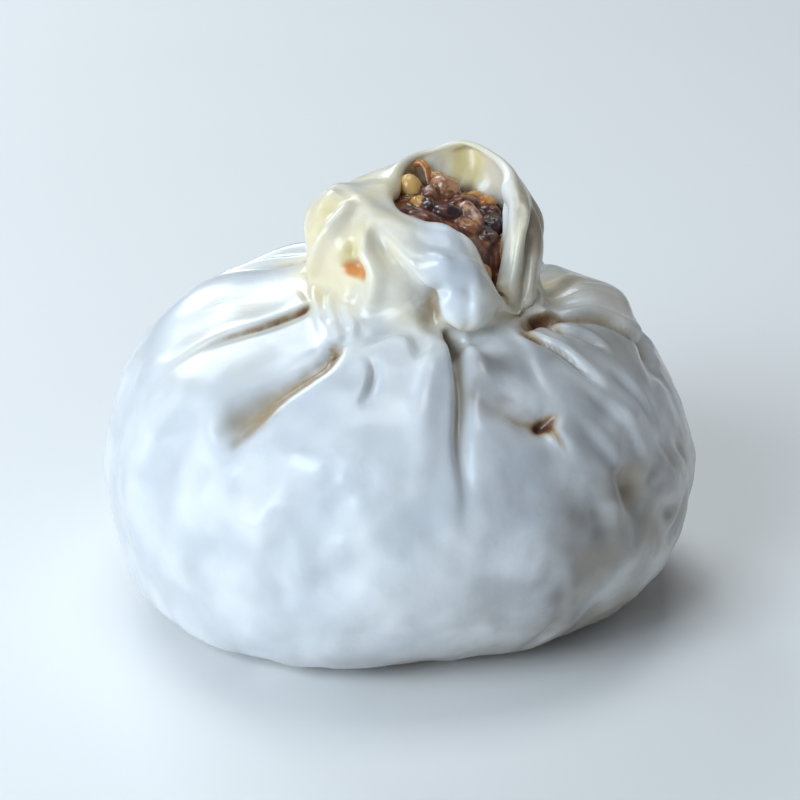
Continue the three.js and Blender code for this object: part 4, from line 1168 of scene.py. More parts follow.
@dataclass
class Wrapper:
    """The dough bag: its outer skin, the rounded edge of the frill and the inside of the mouth."""

    columns: int = 440
    rows_per_span: tuple = (3, 3, 5, 9, 13, 13, 22, 24, 18, 16, 14, 12, 12, 12)
    rim_steps: int = 6
    mouth_rows: int = 26
    flap_thickness: float = 1.0
    back_thinning: float = 0.75
    left_lining: float = 2.8
    back_lining: float = 2.1
    left_lip: float = 1.1
    right_lip: float = 0.9
    thickness: tuple = (1.6, 1.6, 1.6, 1.6, 1.6, 1.6, 2.0, 2.4, 2.4, 2.2, 2.0, 1.8, 1.5, 1.4, 1.3)
    mouth_level: float = 10.0
    hidden_levels: tuple = (9.0, 8.0, 7.0, 6.0, 5.0, 4.0, 3.0, 2.0, 1.0)
    gathers: Gathers = field(default_factory=Gathers)
    pleat_level: float = 7.4
    belly_lumps: Uneven = Uneven(0.36, 10.0, 2, 3.1)
    low_lumps: Uneven = Uneven(0.28, 4.6, 2, 8.7)
    frill_lumps: Uneven = Uneven(0.14, 3.0, 2, 5.5)
    surface: DoughSurface = field(init=False)

    def shape(self) -> None:
        """Lays the surface and presses every fold, gather, dent and lump into it."""
        self.surface = DoughSurface(self.columns, self.rows_per_span)
        s = self.surface
        s.press((*FOLDS, *self.gathers.folds()), DENTS)
        belly = smooth((9.2 - s.levels) / 1.5) * smooth((s.levels - 1.5) / 1.5)
        frill = smooth((s.levels - 9.5) / 1.0) * smooth((RIM + 0.5 - s.levels) / 1.5)
        below_pleats = belly * smooth((self.pleat_level - s.levels) / 1.0)
        lift = self.belly_lumps.over(s.base) * belly[:, None]
        lift += self.low_lumps.over(s.base) * below_pleats[:, None]
        lift += self.frill_lumps.over(s.base) * frill[:, None]
        s.points = s.points + s.normal * lift[..., None]
        s.settle()

    def thick(self, level: float) -> float:
        """Thickness of the dough at a level, in mm."""
        return float(np.interp(level, np.arange(RIM + 1), self.thickness))

    def outward(self) -> np.ndarray:
        """Directions out of the dough.

        Returns:
            Its normals for every row and column, turned level and away from the neck at the slit.
        """
        s = self.surface
        angle = np.radians(s.azimuth)
        level_out = np.stack([np.cos(angle), np.sin(angle), np.zeros_like(angle)], axis=1)[None]
        share = (bell(s.azimuth, SLIT, 24)[None] * smooth((s.levels - 9.6) / 0.6)[:, None])[..., None]
        return unit(s.normal * (1 - share) + level_out * share)

    def inner_points(self, clearance: float = 0.0) -> np.ndarray:
        """The inside of the dough for every row and column, in mm: smooth, and clear of every fold."""
        s = self.surface
        thick = np.array([self.wall(level) for level in s.levels])
        return s.base - self.outward() * (thick + s.pressed[..., None] + clearance)

    def rim_outward(self) -> np.ndarray:
        """Directions out of the dough at the finished rim."""
        s = self.surface
        share = bell(s.azimuth, SLIT, 24)[:, None]
        return unit(s.normals(s.points)[-1] * (1 - share) + self.outward()[-1] * share)

    def wall(self, level: float) -> np.ndarray:
        """Thickness of the dough at a level for every column, in mm.

        It is thicker in the rolled flap, in the rim's left and right, and below the rim at the back.

        Args:
            level: The level.

        Returns:
            The thicknesses as one column.
        """
        azimuth, below = self.surface.azimuth, smooth((RIM - level) / 1.4) * smooth((level - 10.5) / 1.5)
        flap = self.flap_thickness * bell(azimuth, -92, 26) * smooth((level - 10.5) / 2.0)
        thin = self.back_thinning * bell(azimuth, 75, 60) * smooth((level - 12.0) / 2.0)
        lining = self.left_lining * bell(azimuth, 190, 34) + self.back_lining * bell(azimuth, 70, 50)
        lip = self.left_lip * bell(azimuth, 165, 42) + self.right_lip * bell(azimuth, -8, 19)
        lip = lip * smooth((level - 12.4) / 1.0)
        return (self.thick(level) + flap + lining * below + lip - thin)[:, None]

    def inside_lift(self, skin: np.ndarray, points: np.ndarray) -> np.ndarray:
        """How far the ridges raise points inside the mouth.

        Args:
            skin: The inside of the dough for every row and column, in mm.
            points: The points, in mm.

        Returns:
            Their lift in mm.
        """
        s, lift = self.surface, np.zeros(len(points))
        for ridge in INSIDE_RIDGES:
            track = np.array([s.at(skin, a, v) for a, v in through(ridge.path, 16)])
            near = Nearest.to(track, points)
            ends = smooth(near.share / 0.25 + 0.2) * smooth((1 - near.share) / 0.25 + 0.2)
            lift += ridge.height * ends * np.exp(-((near.distance / ridge.width) ** 2))
        return lift

    def inside(self, level: float, clearance: float = 0.0) -> np.ndarray:
        """A ring of points inside the dough at one level, in mm."""
        skin = self.inner_points(clearance)
        return np.array([self.surface.at(skin, a, level) for a in self.surface.azimuth])

    def build(self) -> bpy.types.Object:
        """Makes the dough as one closed skin.

        Returns:
            The object, with its attributes for the material.
        """
        self.shape()
        s = self.surface
        outward = self.outward()
        edge, out = s.points[-1], self.rim_outward()
        over = s.points[-1] - s.points[-4]
        over = unit(over - (over * out).sum(1, keepdims=True) * out)
        half = self.wall(RIM) / 2
        rings = [s.points[k] for k in range(1, len(s.points))]
        kinds = [np.zeros(self.columns)] * len(rings)
        for k in range(1, self.rim_steps + 1):
            turn = math.pi * k / self.rim_steps
            rings.append(edge + half * (over * math.sin(turn) - out * (1 - math.cos(turn))))
            kinds.append(np.full(self.columns, k / self.rim_steps))
        rows = np.linspace(len(s.levels) - 3, np.searchsorted(s.levels, self.mouth_level), self.mouth_rows)
        rows = rows.round().astype(int)
        skin = self.inner_points()
        wall = skin[rows]
        wall -= outward[rows] * self.inside_lift(skin, wall.reshape(-1, 3)).reshape(*wall.shape[:2], 1)
        rings += list(wall)
        kinds += [np.ones(self.columns)] * len(wall)
        width = self.columns
        for level in self.hidden_levels:
            width = width // 2 if width > self.columns // 4 else width
            ring = self.inside(level)[:: self.columns // width]
            rings.append(ring)
            kinds.append(np.ones(width))
        vertices, faces = closed_skin(s.points[0, 0], rings, s.base[0, 0] + (0, 0, self.thick(0)))
        obj = mesh_object("dough_wrapper", vertices, faces)
        self.dress(obj, vertices, np.concatenate([[0.0], *kinds, [1.0]]))
        return obj

    def glow(self, skin: np.ndarray, vertices: np.ndarray, spots: Spots) -> np.ndarray:
        """How strongly round spots colour the dough.

        Args:
            skin: The skin that the spots lie on, for every row and column, in mm.
            vertices: Points in mm.
            spots: The spots.

        Returns:
            A number for each point.
        """
        s, glow = self.surface, np.zeros(len(vertices))
        for place, size in spots.marks:
            glow += 0.6 * np.exp(-((vertices - s.at(skin, *place)) ** 2).sum(1) / size ** 2)
        return spots.strength * glow

    def outer_values(self, grid: np.ndarray, count: int) -> np.ndarray:
        """A value of the outer surface at every vertex of the closed skin, 0 on the inside.

        Args:
            grid: The value for every row and column.
            count: How many vertices the skin has.

        Returns:
            The value for each vertex.
        """
        values = np.zeros(count)
        values[1:grid[1:].size + 1] = grid[1:].ravel()
        return values

    def soak_and_shade(self, where: DoughPlaces, stain_and_shade: np.ndarray) -> np.ndarray:
        """How far sauce has soaked the dough, with painted shade: soaking and painted shade in folds, soaking
        beside the filling and at the slit's foot, and painted warm shade on the right wall and beside the
        lobe.

        Args:
            where: The dough's vertices.
            stain_and_shade: How soaked the folds and dents make it at each vertex, with their painted shade.

        Returns:
            A number for each vertex.
        """
        azimuth, level = where.azimuth, where.level
        near_filling = smooth((0.6 - (where.z - FillingHeap.top(where.x, where.y))) / 1.0)
        right_base = bell(azimuth, -36, 13) * np.exp(-(((level - 8.9) / 0.6) ** 2))
        # Painted warm shade on the right wall, turned away from the lamps, and beside the lobe under the
        # flap.
        painted_warm_shade = 0.3 * bell(azimuth, -14, 16) * smooth((level - 10.0) / 1.0)
        painted_warm_shade += 0.25 * bell(azimuth, -98, 10) * np.exp(-(((level - 10.2) / 1.0) ** 2))
        return 0.9 * stain_and_shade + near_filling * smooth(where.inner) + (0.5 * right_base + painted_warm_shade) * where.outside

    def cream(self, where: DoughPlaces, inner_lift: np.ndarray) -> np.ndarray:
        """How creamy the dough is: in the neck, the frill and the mouth, less so on the flap and on ridges
        whitened as a painted highlight.

        Args:
            where: The dough's vertices.
            inner_lift: How far the ridges raise the inside of the mouth there, in mm.

        Returns:
            A number for each vertex.
        """
        azimuth, level, outside = where.azimuth, where.level, where.outside
        flap = bell(azimuth, -78, 24) * smooth((level - 9.4) / 0.8)
        cream = (0.9 * smooth((level - 8.4) / 1.7) + 0.1) * (1 - 0.9 * flap) * outside + 0.9 * (1 - outside)
        # Painted highlight: the ridges inside the mouth are whitened.
        cream -= 0.6 * smooth(inner_lift / 1.4)
        cream *= 1 - 0.6 * bell(azimuth, 0, 30) * smooth((level - 9.0) / 1.0)
        cream += 0.5 * bell(azimuth, 8, 30) * smooth((level - 6.8) / 0.8) * outside
        for place, width in CREAMY_PLEATS:
            cream += 0.45 * bell(azimuth, place, width) * smooth((level - 7.3) / 1.3) * outside
        cream += 0.3 * bell(azimuth, -152, 16) * smooth((level - 6.7) / 1.0) * outside
        # Painted highlight along the frill's left ridge.
        return cream - self.glow(self.surface.points, where.vertices, RIDGE_PAINTED_HIGHLIGHT)

    def veil_and_shade(self, where: DoughPlaces) -> np.ndarray:
        """How far the filling's darkness shows through thin dough, with painted shade: mostly low on the
        right, and also at the bottom, on the neck's right and in pockets and hollows.

        Args:
            where: The dough's vertices.

        Returns:
            A number for each vertex.
        """
        x, y, z, level, belly = where.x, where.y, where.z, where.level, where.belly_azimuth
        # Painted shade with see-through grey: the right side, turned away from the lamps, the far right low
        # down and the bottom are darkened.
        thin = (0.34 + 0.35 * smooth((19 - z) / 9)) * smooth((x + 2) / 24) * smooth((9 - y) / 20)
        thin += 0.95 * smooth((belly + 66) / 14) * smooth((26 - belly) / 46) * smooth((22 - z) / 6)
        thin += 0.7 * smooth((7 - z) / 6) * smooth((x + 14) / 16) * smooth((14 - y) / 22)
        veil_and_shade = (0.1 + 0.2 * bell(belly, 70, 70) + thin) * smooth((9.6 - level) / 2.0)
        # Painted shade on the right wall of the neck and frill.
        neck = smooth((level - 9.0) / 1.0) * smooth((13.6 - level) / 0.7)
        veil_and_shade = (veil_and_shade + 0.95 * bell(where.azimuth, -10, 26) * neck) * where.outside
        # Painted shade spots in pockets, hollows and along lips.
        for spots in VEIL_AND_SHADE_SPOTS:
            veil_and_shade += self.glow(self.surface.points, where.vertices, spots)
        return veil_and_shade

    def dress(self, obj: bpy.types.Object, vertices: np.ndarray, inner: np.ndarray) -> None:
        """Stores where the dough is creamy, veiled and soaked, with its painted shade and highlight, and
        gives it its material.

        Args:
            obj: The dough.
            vertices: Its points in mm.
            inner: 0 on the outside, 1 on the inside, between them on the rim.
        """
        s, count = self.surface, len(vertices)
        level = self.outer_values(np.repeat(s.levels[:, None], self.columns, axis=1), count)
        level[(len(s.levels) - 1) * self.columns + 1:] = RIM
        where = DoughPlaces(vertices, level, inner)
        inside = 1 - where.outside
        lining = self.inner_points()
        inner_lift = self.inside_lift(lining, vertices) * inside
        values = {
            "soak_and_shade": self.soak_and_shade(where, self.outer_values(s.stain_and_shade, count)),
            "cream": self.cream(where, inner_lift),
            # amber: the yellow of thicker dough, and painted amber shade in the hollows between the ridges
            # inside the mouth.
            "amber": self.glow(s.points, vertices, FRILL_AMBER)
            + self.glow(lining, vertices, MOUTH_AMBER) * inside + 0.6 * smooth(-inner_lift / 0.9),
            "peek": self.glow(s.points, vertices, FILLING_PEEK),
            "veil_and_shade": self.veil_and_shade(where),
            # hollow: each crease's depth, which the material turns into painted shade.
            "hollow": self.outer_values(s.hollow, count) / 2.0,
        }
        for name, value in values.items():
            give_attribute(obj, name, np.clip(value, 0, 1))
        obj.data.materials.append(DoughFinish().material())


# ---- the filling --------------------------------------------------------------------------------------
@dataclass
class FillingHeap:
    """The filling's core, out to the inside of the dough and up to the mouth."""

    columns: int = 96
    cap_rings: int = 26
    side_levels: tuple = (1.0, 2.0, 3.0, 4.0, 5.0, 6.0, 7.0, 8.0, 8.5, 9.0)
    clearance: float = 0.35
    packed: Uneven = Uneven(0.35, 2.2, 3, 1.7)
    edge: np.ndarray = field(init=False)

    @staticmethod
    def top(x: np.ndarray, y: np.ndarray) -> np.ndarray:
        """Height of the filling in the mouth: it falls away towards the slit.

        Args:
            x: Places along X, in mm.
            y: Places along Y, in mm.

        Returns:
            The heights in mm.
        """
        slit = math.radians(SLIT_FALL)
        towards = (np.asarray(x) - NECK[0]) * math.cos(slit) + np.asarray(y) * math.sin(slit)
        return 40.7 - 0.035 * np.maximum(towards + 3, 0) ** 2 - 0.9 * np.maximum(towards - 7, 0)

    def build(self, wrapper: Wrapper) -> bpy.types.Object:
        """Makes the core.

        Args:
            wrapper: The dough that holds it.

        Returns:
            The core, with the relief of what lies packed in it.
        """
        rings = []
        for level in self.side_levels:
            ring = wrapper.inside(level, self.clearance)
            pick = np.linspace(0, len(ring), self.columns, endpoint=False).round().astype(int)
            rings.append(ring[pick])
        skin = wrapper.inner_points(self.clearance + 0.2)
        neck = np.array([self.neck_column(wrapper, skin, index) for index in pick])
        rings += [neck[:, k] for k in range(1, neck.shape[1])]
        self.edge = edge = rings[-1]
        for k in range(1, self.cap_rings):
            share = 1 - k / self.cap_rings
            x = NECK[0] + (edge[:, 0] - NECK[0]) * share
            y = edge[:, 1] * share
            z = self.top(x, y) * (1 - share ** 6) + edge[:, 2] * share ** 6
            rings.append(np.stack([x, y, z], axis=1))
        for k in range(len(rings) - self.cap_rings + 1, len(rings)):
            rings[k][:, 2] += self.packed.over(rings[k])
        centre = np.array([NECK[0], 0.0, float(self.top(NECK[0], 0.0))])
        bottom = np.array([-2.0, 0.0, wrapper.thick(0) + self.clearance])
        vertices, faces = closed_skin(bottom, rings, centre)
        obj = mesh_object("filling_core", vertices, faces)
        give_attribute(obj, "tone", np.clip(0.85 + 0.3 * lumps(vertices, 2.5, 2, 4.4), 0, 1))
        return obj

    def neck_column(self, wrapper: Wrapper, skin: np.ndarray, index: int) -> np.ndarray:
        """The filling's side in the neck, at one column, from level 9 up to the filling's top.

        Args:
            wrapper: The dough that holds the filling.
            skin: The filling's side for every row and column of the dough, in mm.
            index: The column.

        Returns:
            Nine points, the last where the side meets the top.
        """
        s = wrapper.surface
        levels = np.linspace(9.0, 13.2, 60)
        inner = np.array([s.at(skin, s.azimuth[index], v) for v in levels])
        above = inner[:, 2] > self.top(inner[:, 0], inner[:, 1])
        last = int(np.argmax(above)) if above.any() else len(levels) - 1
        pick = np.linspace(0, max(last, 2), 9)
        return np.array([[np.interp(p, np.arange(len(levels)), inner[:, k]) for k in range(3)] for p in pick])


@dataclass(frozen=True)
class Morsel:
    """One rounded piece of filling: its centre, half sizes and turns (in degrees), in mm."""

    place: tuple
    half: tuple
    turn: tuple = (0.0, 0.0, 0.0)
    tone: float = 0.5
    boxy: float = 2.4
    rough: float = 0.12

    def skin(self, seed: float, around_count: int = 28, rows: int = 14) -> tuple:
        """The piece's closed skin.

        Args:
            seed: Moves the pattern of its unevenness.
            around_count: How many points it has round it.
            rows: How many rings it has from pole to pole.

        Returns:
            Its vertices in mm and its faces.
        """
        turn = Euler([math.radians(t) for t in self.turn]).to_matrix()
        matrix = np.array([list(row) for row in turn])
        angle = np.linspace(0, 2 * math.pi, around_count, endpoint=False)
        rings = []
        for k in range(rows + 1):
            tilt = math.pi * (k / rows - 0.5)
            flat = np.stack([math.cos(tilt) * np.cos(angle), math.cos(tilt) * np.sin(angle),
                             np.full_like(angle, math.sin(tilt))], axis=1)
            size = (np.abs(flat) ** self.boxy).sum(1, keepdims=True) ** (1 / self.boxy)
            point = flat / size * np.array(self.half)
            uneven = lumps(point, 0.9, 2, seed)
            point = point * (1 + self.rough * uneven[:, None])
            rings.append(point @ matrix.T + np.array(self.place))
        return closed_skin(rings[0].mean(0), rings[1:-1], rings[-1].mean(0))


@dataclass
class Morsels:
    """All the pieces of filling of one kind, as one object."""

    name: str
    pieces: tuple
    finish: FillingFinish
    seed: float
    seed_step: float = 7.3

    def build(self) -> bpy.types.Object:
        """Makes the object.

        Returns:
            The object with its tone attribute and material.
        """
        skins = [piece.skin(self.seed + self.seed_step * i) for i, piece in enumerate(self.pieces)]
        obj = mesh_object(self.name, *joined(skins))
        tones = [np.full(len(skin[0]), piece.tone) for skin, piece in zip(skins, self.pieces)]
        give_attribute(obj, "tone", np.concatenate(tones))
        obj.data.materials.append(self.finish.material())
        return obj


@dataclass
class Shreds:
    """Thin curled shreds of fried onion, as one object."""

    name: str
    paths: tuple
    finish: FillingFinish
    wide: float = 0.4
    thin: float = 0.2
    steps: int = 40
    sides: int = 10
    flat_side: tuple = (0.25, -0.9, 0.35)

    def strand(self, path: tuple) -> tuple:
        """One shred's closed skin.

        Args:
            path: The (x, y, z) places it passes, in mm.

        Returns:
            Its vertices in mm and its faces.
        """
        line = through(path, self.steps)
        along = unit(np.gradient(line, axis=0))
        side = unit(np.cross(along, np.array(self.flat_side)))
        up = np.cross(side, along)
        share = np.linspace(0, 1, self.steps)
        grow = np.sqrt(np.clip(1 - np.abs(2 * share - 1) ** 3.5, 0.02, 1))
        angle = np.linspace(0, 2 * math.pi, self.sides, endpoint=False)
        rings = [line[k] + grow[k] * (np.outer(np.cos(angle), side[k]) * self.wide
                                      + np.outer(np.sin(angle), up[k]) * self.thin)
                 for k in range(self.steps)]
        return closed_skin(line[0], rings[::-1], line[-1])

    def build(self) -> bpy.types.Object:
        """Makes the object."""
        vertices, faces = joined([self.strand(path) for path in self.paths])
        obj = mesh_object(self.name, vertices, faces)
        give_attribute(obj, "tone", 0.4 + 0.2 * lumps(vertices, 1.0, 2, 3.0))
        obj.data.materials.append(self.finish.material())
        return obj


@dataclass
class RiceGrains:
    """Cooked rice grains strewn over the filling's top by Geometry Nodes."""

    finish: FillingFinish
    long_half: float = 2.4
    thick_half: float = 1.25
    spacing: float = 2.5
    density: float = 1.4
    seed: int = 11
    margin: float = 1.5
    depth: float = 1.0
    bed_rings: int = 14

    def bed(self, edge: np.ndarray) -> bpy.types.Object:
        """A sheet over the filling's top that carries the grains.

        Args:
            edge: The points where the filling's top meets the dough, in mm.

        Returns:
            The sheet, which stops short of the edge.
        """
        out = edge[:, :2] - np.array(NECK)
        radius = np.linalg.norm(out, axis=1, keepdims=True)
        out = out / radius * np.maximum(radius - self.margin, 1.0)
        rings, steps = self.bed_rings, len(edge)
        flat = np.concatenate([[NECK], *(np.array(NECK) + out * k / rings for k in range(1, rings + 1))])
        top = FillingHeap.top(flat[:, 0], flat[:, 1]) - self.depth
        faces = [(0, 1 + i, 1 + (i + 1) % steps) for i in range(steps)]
        for k in range(rings - 1):
            low, high = 1 + k * steps, 1 + (k + 1) * steps
            faces += [(low + i, high + i, high + (i + 1) % steps, low + (i + 1) % steps)
                      for i in range(steps)]
        return mesh_object("rice_bed", np.column_stack([flat, top]), faces)

    def nodes(self) -> bpy.types.NodeTree:
        """Builds the node group: points on the bed, a turned grain on each, one tone for each.

        Returns:
            The group. Its inputs are Spacing, Density, Seed, Length, Thickness and Material.
        """
        tree = bpy.data.node_groups.new("rice_grains", "GeometryNodeTree")
        face = tree.interface
        face.new_socket("Geometry", in_out="INPUT", socket_type="NodeSocketGeometry")
        for name, kind in (("Spacing", "Float"), ("Density", "Float"), ("Seed", "Int"), ("Length", "Float"),
                           ("Thickness", "Float"), ("Material", "Material")):
            face.new_socket(name, in_out="INPUT", socket_type=f"NodeSocket{kind}")
        face.new_socket("Geometry", in_out="OUTPUT", socket_type="NodeSocketGeometry")
        new, link = tree.nodes.new, tree.links.new
        start, end = new("NodeGroupInput"), new("NodeGroupOutput")
        spread = new("GeometryNodeDistributePointsOnFaces")
        spread.distribute_method = "POISSON"
        link(start.outputs["Geometry"], spread.inputs["Mesh"])
        link(start.outputs["Spacing"], spread.inputs["Distance Min"])
        link(start.outputs["Density"], spread.inputs["Density Max"])
        link(start.outputs["Seed"], spread.inputs["Seed"])
        ball = new("GeometryNodeMeshUVSphere")
        ball.inputs["Segments"].default_value = 20
        ball.inputs["Rings"].default_value = 14
        ball.inputs["Radius"].default_value = 1.0
        size = new("ShaderNodeCombineXYZ")
        link(start.outputs["Length"], size.inputs["X"])
        link(start.outputs["Thickness"], size.inputs["Y"])
        link(start.outputs["Thickness"], size.inputs["Z"])
        shape = new("GeometryNodeTransform")
        link(ball.outputs["Mesh"], shape.inputs["Geometry"])
        link(size.outputs["Vector"], shape.inputs["Scale"])
        spin = new("FunctionNodeRandomValue")
        spin.data_type = "FLOAT_VECTOR"
        spin.inputs[0].default_value = (-0.3, -0.55, 0.0)
        spin.inputs[1].default_value = (0.3, 0.55, 2 * math.pi)
        link(start.outputs["Seed"], spin.inputs["Seed"])
        scale = new("FunctionNodeRandomValue")
        scale.data_type = "FLOAT"
        scale.inputs[2].default_value, scale.inputs[3].default_value = 0.78, 1.08
        link(start.outputs["Seed"], scale.inputs["Seed"])
        place = new("GeometryNodeInstanceOnPoints")
        link(spread.outputs["Points"], place.inputs["Points"])
        link(shape.outputs["Geometry"], place.inputs["Instance"])
        link(spin.outputs[0], place.inputs["Rotation"])
        link(scale.outputs[1], place.inputs["Scale"])
        tone = new("FunctionNodeRandomValue")
        tone.data_type = "FLOAT"
        tone.inputs["Seed"].default_value = 5
        store = new("GeometryNodeStoreNamedAttribute")
        store.data_type, store.domain = "FLOAT", "INSTANCE"
        store.inputs["Name"].default_value = "tone"
        link(place.outputs["Instances"], store.inputs["Geometry"])
        link(tone.outputs[1], store.inputs["Value"])
        real = new("GeometryNodeRealizeInstances")
        link(store.outputs["Geometry"], real.inputs["Geometry"])
        paint = new("GeometryNodeSetMaterial")
        link(real.outputs["Geometry"], paint.inputs["Geometry"])
        link(start.outputs["Material"], paint.inputs["Material"])
        link(paint.outputs["Geometry"], end.inputs["Geometry"])
        return tree

    def build(self, edge: np.ndarray) -> bpy.types.Object:
        """Strews the grains and bends and dents each a little.

        Args:
            edge: The points where the filling's top meets the dough, in mm.

        Returns:
            One object with every grain, with its tone attribute and material.
        """
        bed = self.bed(edge)
        tree = self.nodes()
        modifier = bed.modifiers.new("rice_grains", "NODES")
        modifier.node_group = tree
        values = {"Spacing": self.spacing * MM, "Density": self.density / MM ** 2, "Seed": self.seed,
                  "Length": self.long_half * MM, "Thickness": self.thick_half * MM,
                  "Material": self.finish.material()}
        for item in tree.interface.items_tree:
            if item.in_out == "INPUT" and item.name in values:
                modifier[item.identifier] = values[item.name]
        bpy.context.view_layer.update()
        made = bed.evaluated_get(bpy.context.evaluated_depsgraph_get())
        mesh = bpy.data.meshes.new_from_object(made, preserve_all_data_layers=True,
                                               depsgraph=bpy.context.evaluated_depsgraph_get())
        bpy.data.objects.remove(bed)
        mesh.name = "rice_grains"
        count = len(mesh.vertices)
        points = np.empty(3 * count)
        mesh.vertices.foreach_get("co", points)
        points = points.reshape(-1, 3)
        wave = np.stack([lumps(points / MM, 2.2, 2, seed) for seed in (1.0, 9.0, 17.0)], axis=1)
        mesh.vertices.foreach_set("co", (points + 0.42 * MM * wave).ravel())
        mesh.polygons.foreach_set("use_smooth", [True] * len(mesh.polygons))
        mesh.update()
        obj = bpy.data.objects.new("rice_grains", mesh)
        bpy.context.scene.collection.objects.link(obj)
        return obj


@dataclass
class SauceFilm:
    """The thick sauce that fills the hollows between the pieces in the mouth and holds them together."""

    finish: FillingFinish
    voxel: float = 0.17
    softening: int = 22
    thick: float = 1.6

    def puck(self, edge: np.ndarray) -> tuple:
        """A closed slab under the filling's top, which the pieces stand in.

        Args:
            edge: The points where the filling's top meets the dough, in mm.

        Returns:
            Its vertices in mm and its faces.
        """
        out = edge[:, :2] - np.array(NECK)
        radius = np.linalg.norm(out, axis=1, keepdims=True)
        out = out / radius * (radius - 0.35)
        shares = (0.2, 0.4, 0.6, 0.8, 0.92, 1.0)
        top = []
        for share in shares:
            flat = np.array(NECK) + out * share
            drop = 0.5 * smooth((share - 0.85) / 0.15) - 0.2
            top.append(np.column_stack([flat, FillingHeap.top(flat[:, 0], flat[:, 1]) - drop]))
        low = [ring - (0, 0, self.thick) for ring in top[::-1]]
        rings = low[::-1] + top[::-1]
        centre = np.array([NECK[0], NECK[1], float(FillingHeap.top(*NECK)) + 0.2])
        return closed_skin(centre - (0, 0, self.thick), rings, centre)

    def build(self, edge: np.ndarray, pieces: list) -> bpy.types.Object:
        """Wraps the pieces and the slab in one soft skin, so that it shows only in the hollows.

        Args:
            edge: The points where the filling's top meets the dough, in mm.
            pieces: The objects that stand in the sauce.

        Returns:
            The object with its tone attribute and material.
        """
        skins = [self.puck(edge)]
        tones = [np.full(len(skins[0][0]), 0.5)]
        for piece in pieces:
            mesh = piece.data
            points, tone = np.empty(3 * len(mesh.vertices)), np.empty(len(mesh.vertices))
            mesh.vertices.foreach_get("co", points)
            mesh.attributes["tone"].data.foreach_get("value", tone)
            skins.append((points.reshape(-1, 3) / MM, [tuple(face.vertices) for face in mesh.polygons]))
            tones.append(tone)
        vertices, faces = joined(skins)
        tones = np.concatenate(tones)
        rough = mesh_object("sauce_rough", vertices, faces)
        wrap = rough.modifiers.new("wrap", "REMESH")
        wrap.mode, wrap.voxel_size, wrap.use_smooth_shade = "VOXEL", self.voxel * MM, True
        soften = rough.modifiers.new("soften", "SMOOTH")
        soften.factor, soften.iterations = 0.5, self.softening
        bpy.context.view_layer.update()
        made = rough.evaluated_get(bpy.context.evaluated_depsgraph_get())
        mesh = bpy.data.meshes.new_from_object(made, depsgraph=bpy.context.evaluated_depsgraph_get())
        bpy.data.objects.remove(rough)
        mesh.name = "sauce_film"
        obj = bpy.data.objects.new("sauce_film", mesh)
        bpy.context.scene.collection.objects.link(obj)
        tree = KDTree(len(vertices))
        for i, point in enumerate(vertices):
            tree.insert(point, i)
        tree.balance()
        near = [tree.find(vertex.co / MM)[1] for vertex in mesh.vertices]
        give_attribute(obj, "tone", np.clip(0.25 + 0.75 * tones[near], 0, 1))
        obj.data.materials.append(self.finish.material())
        return obj


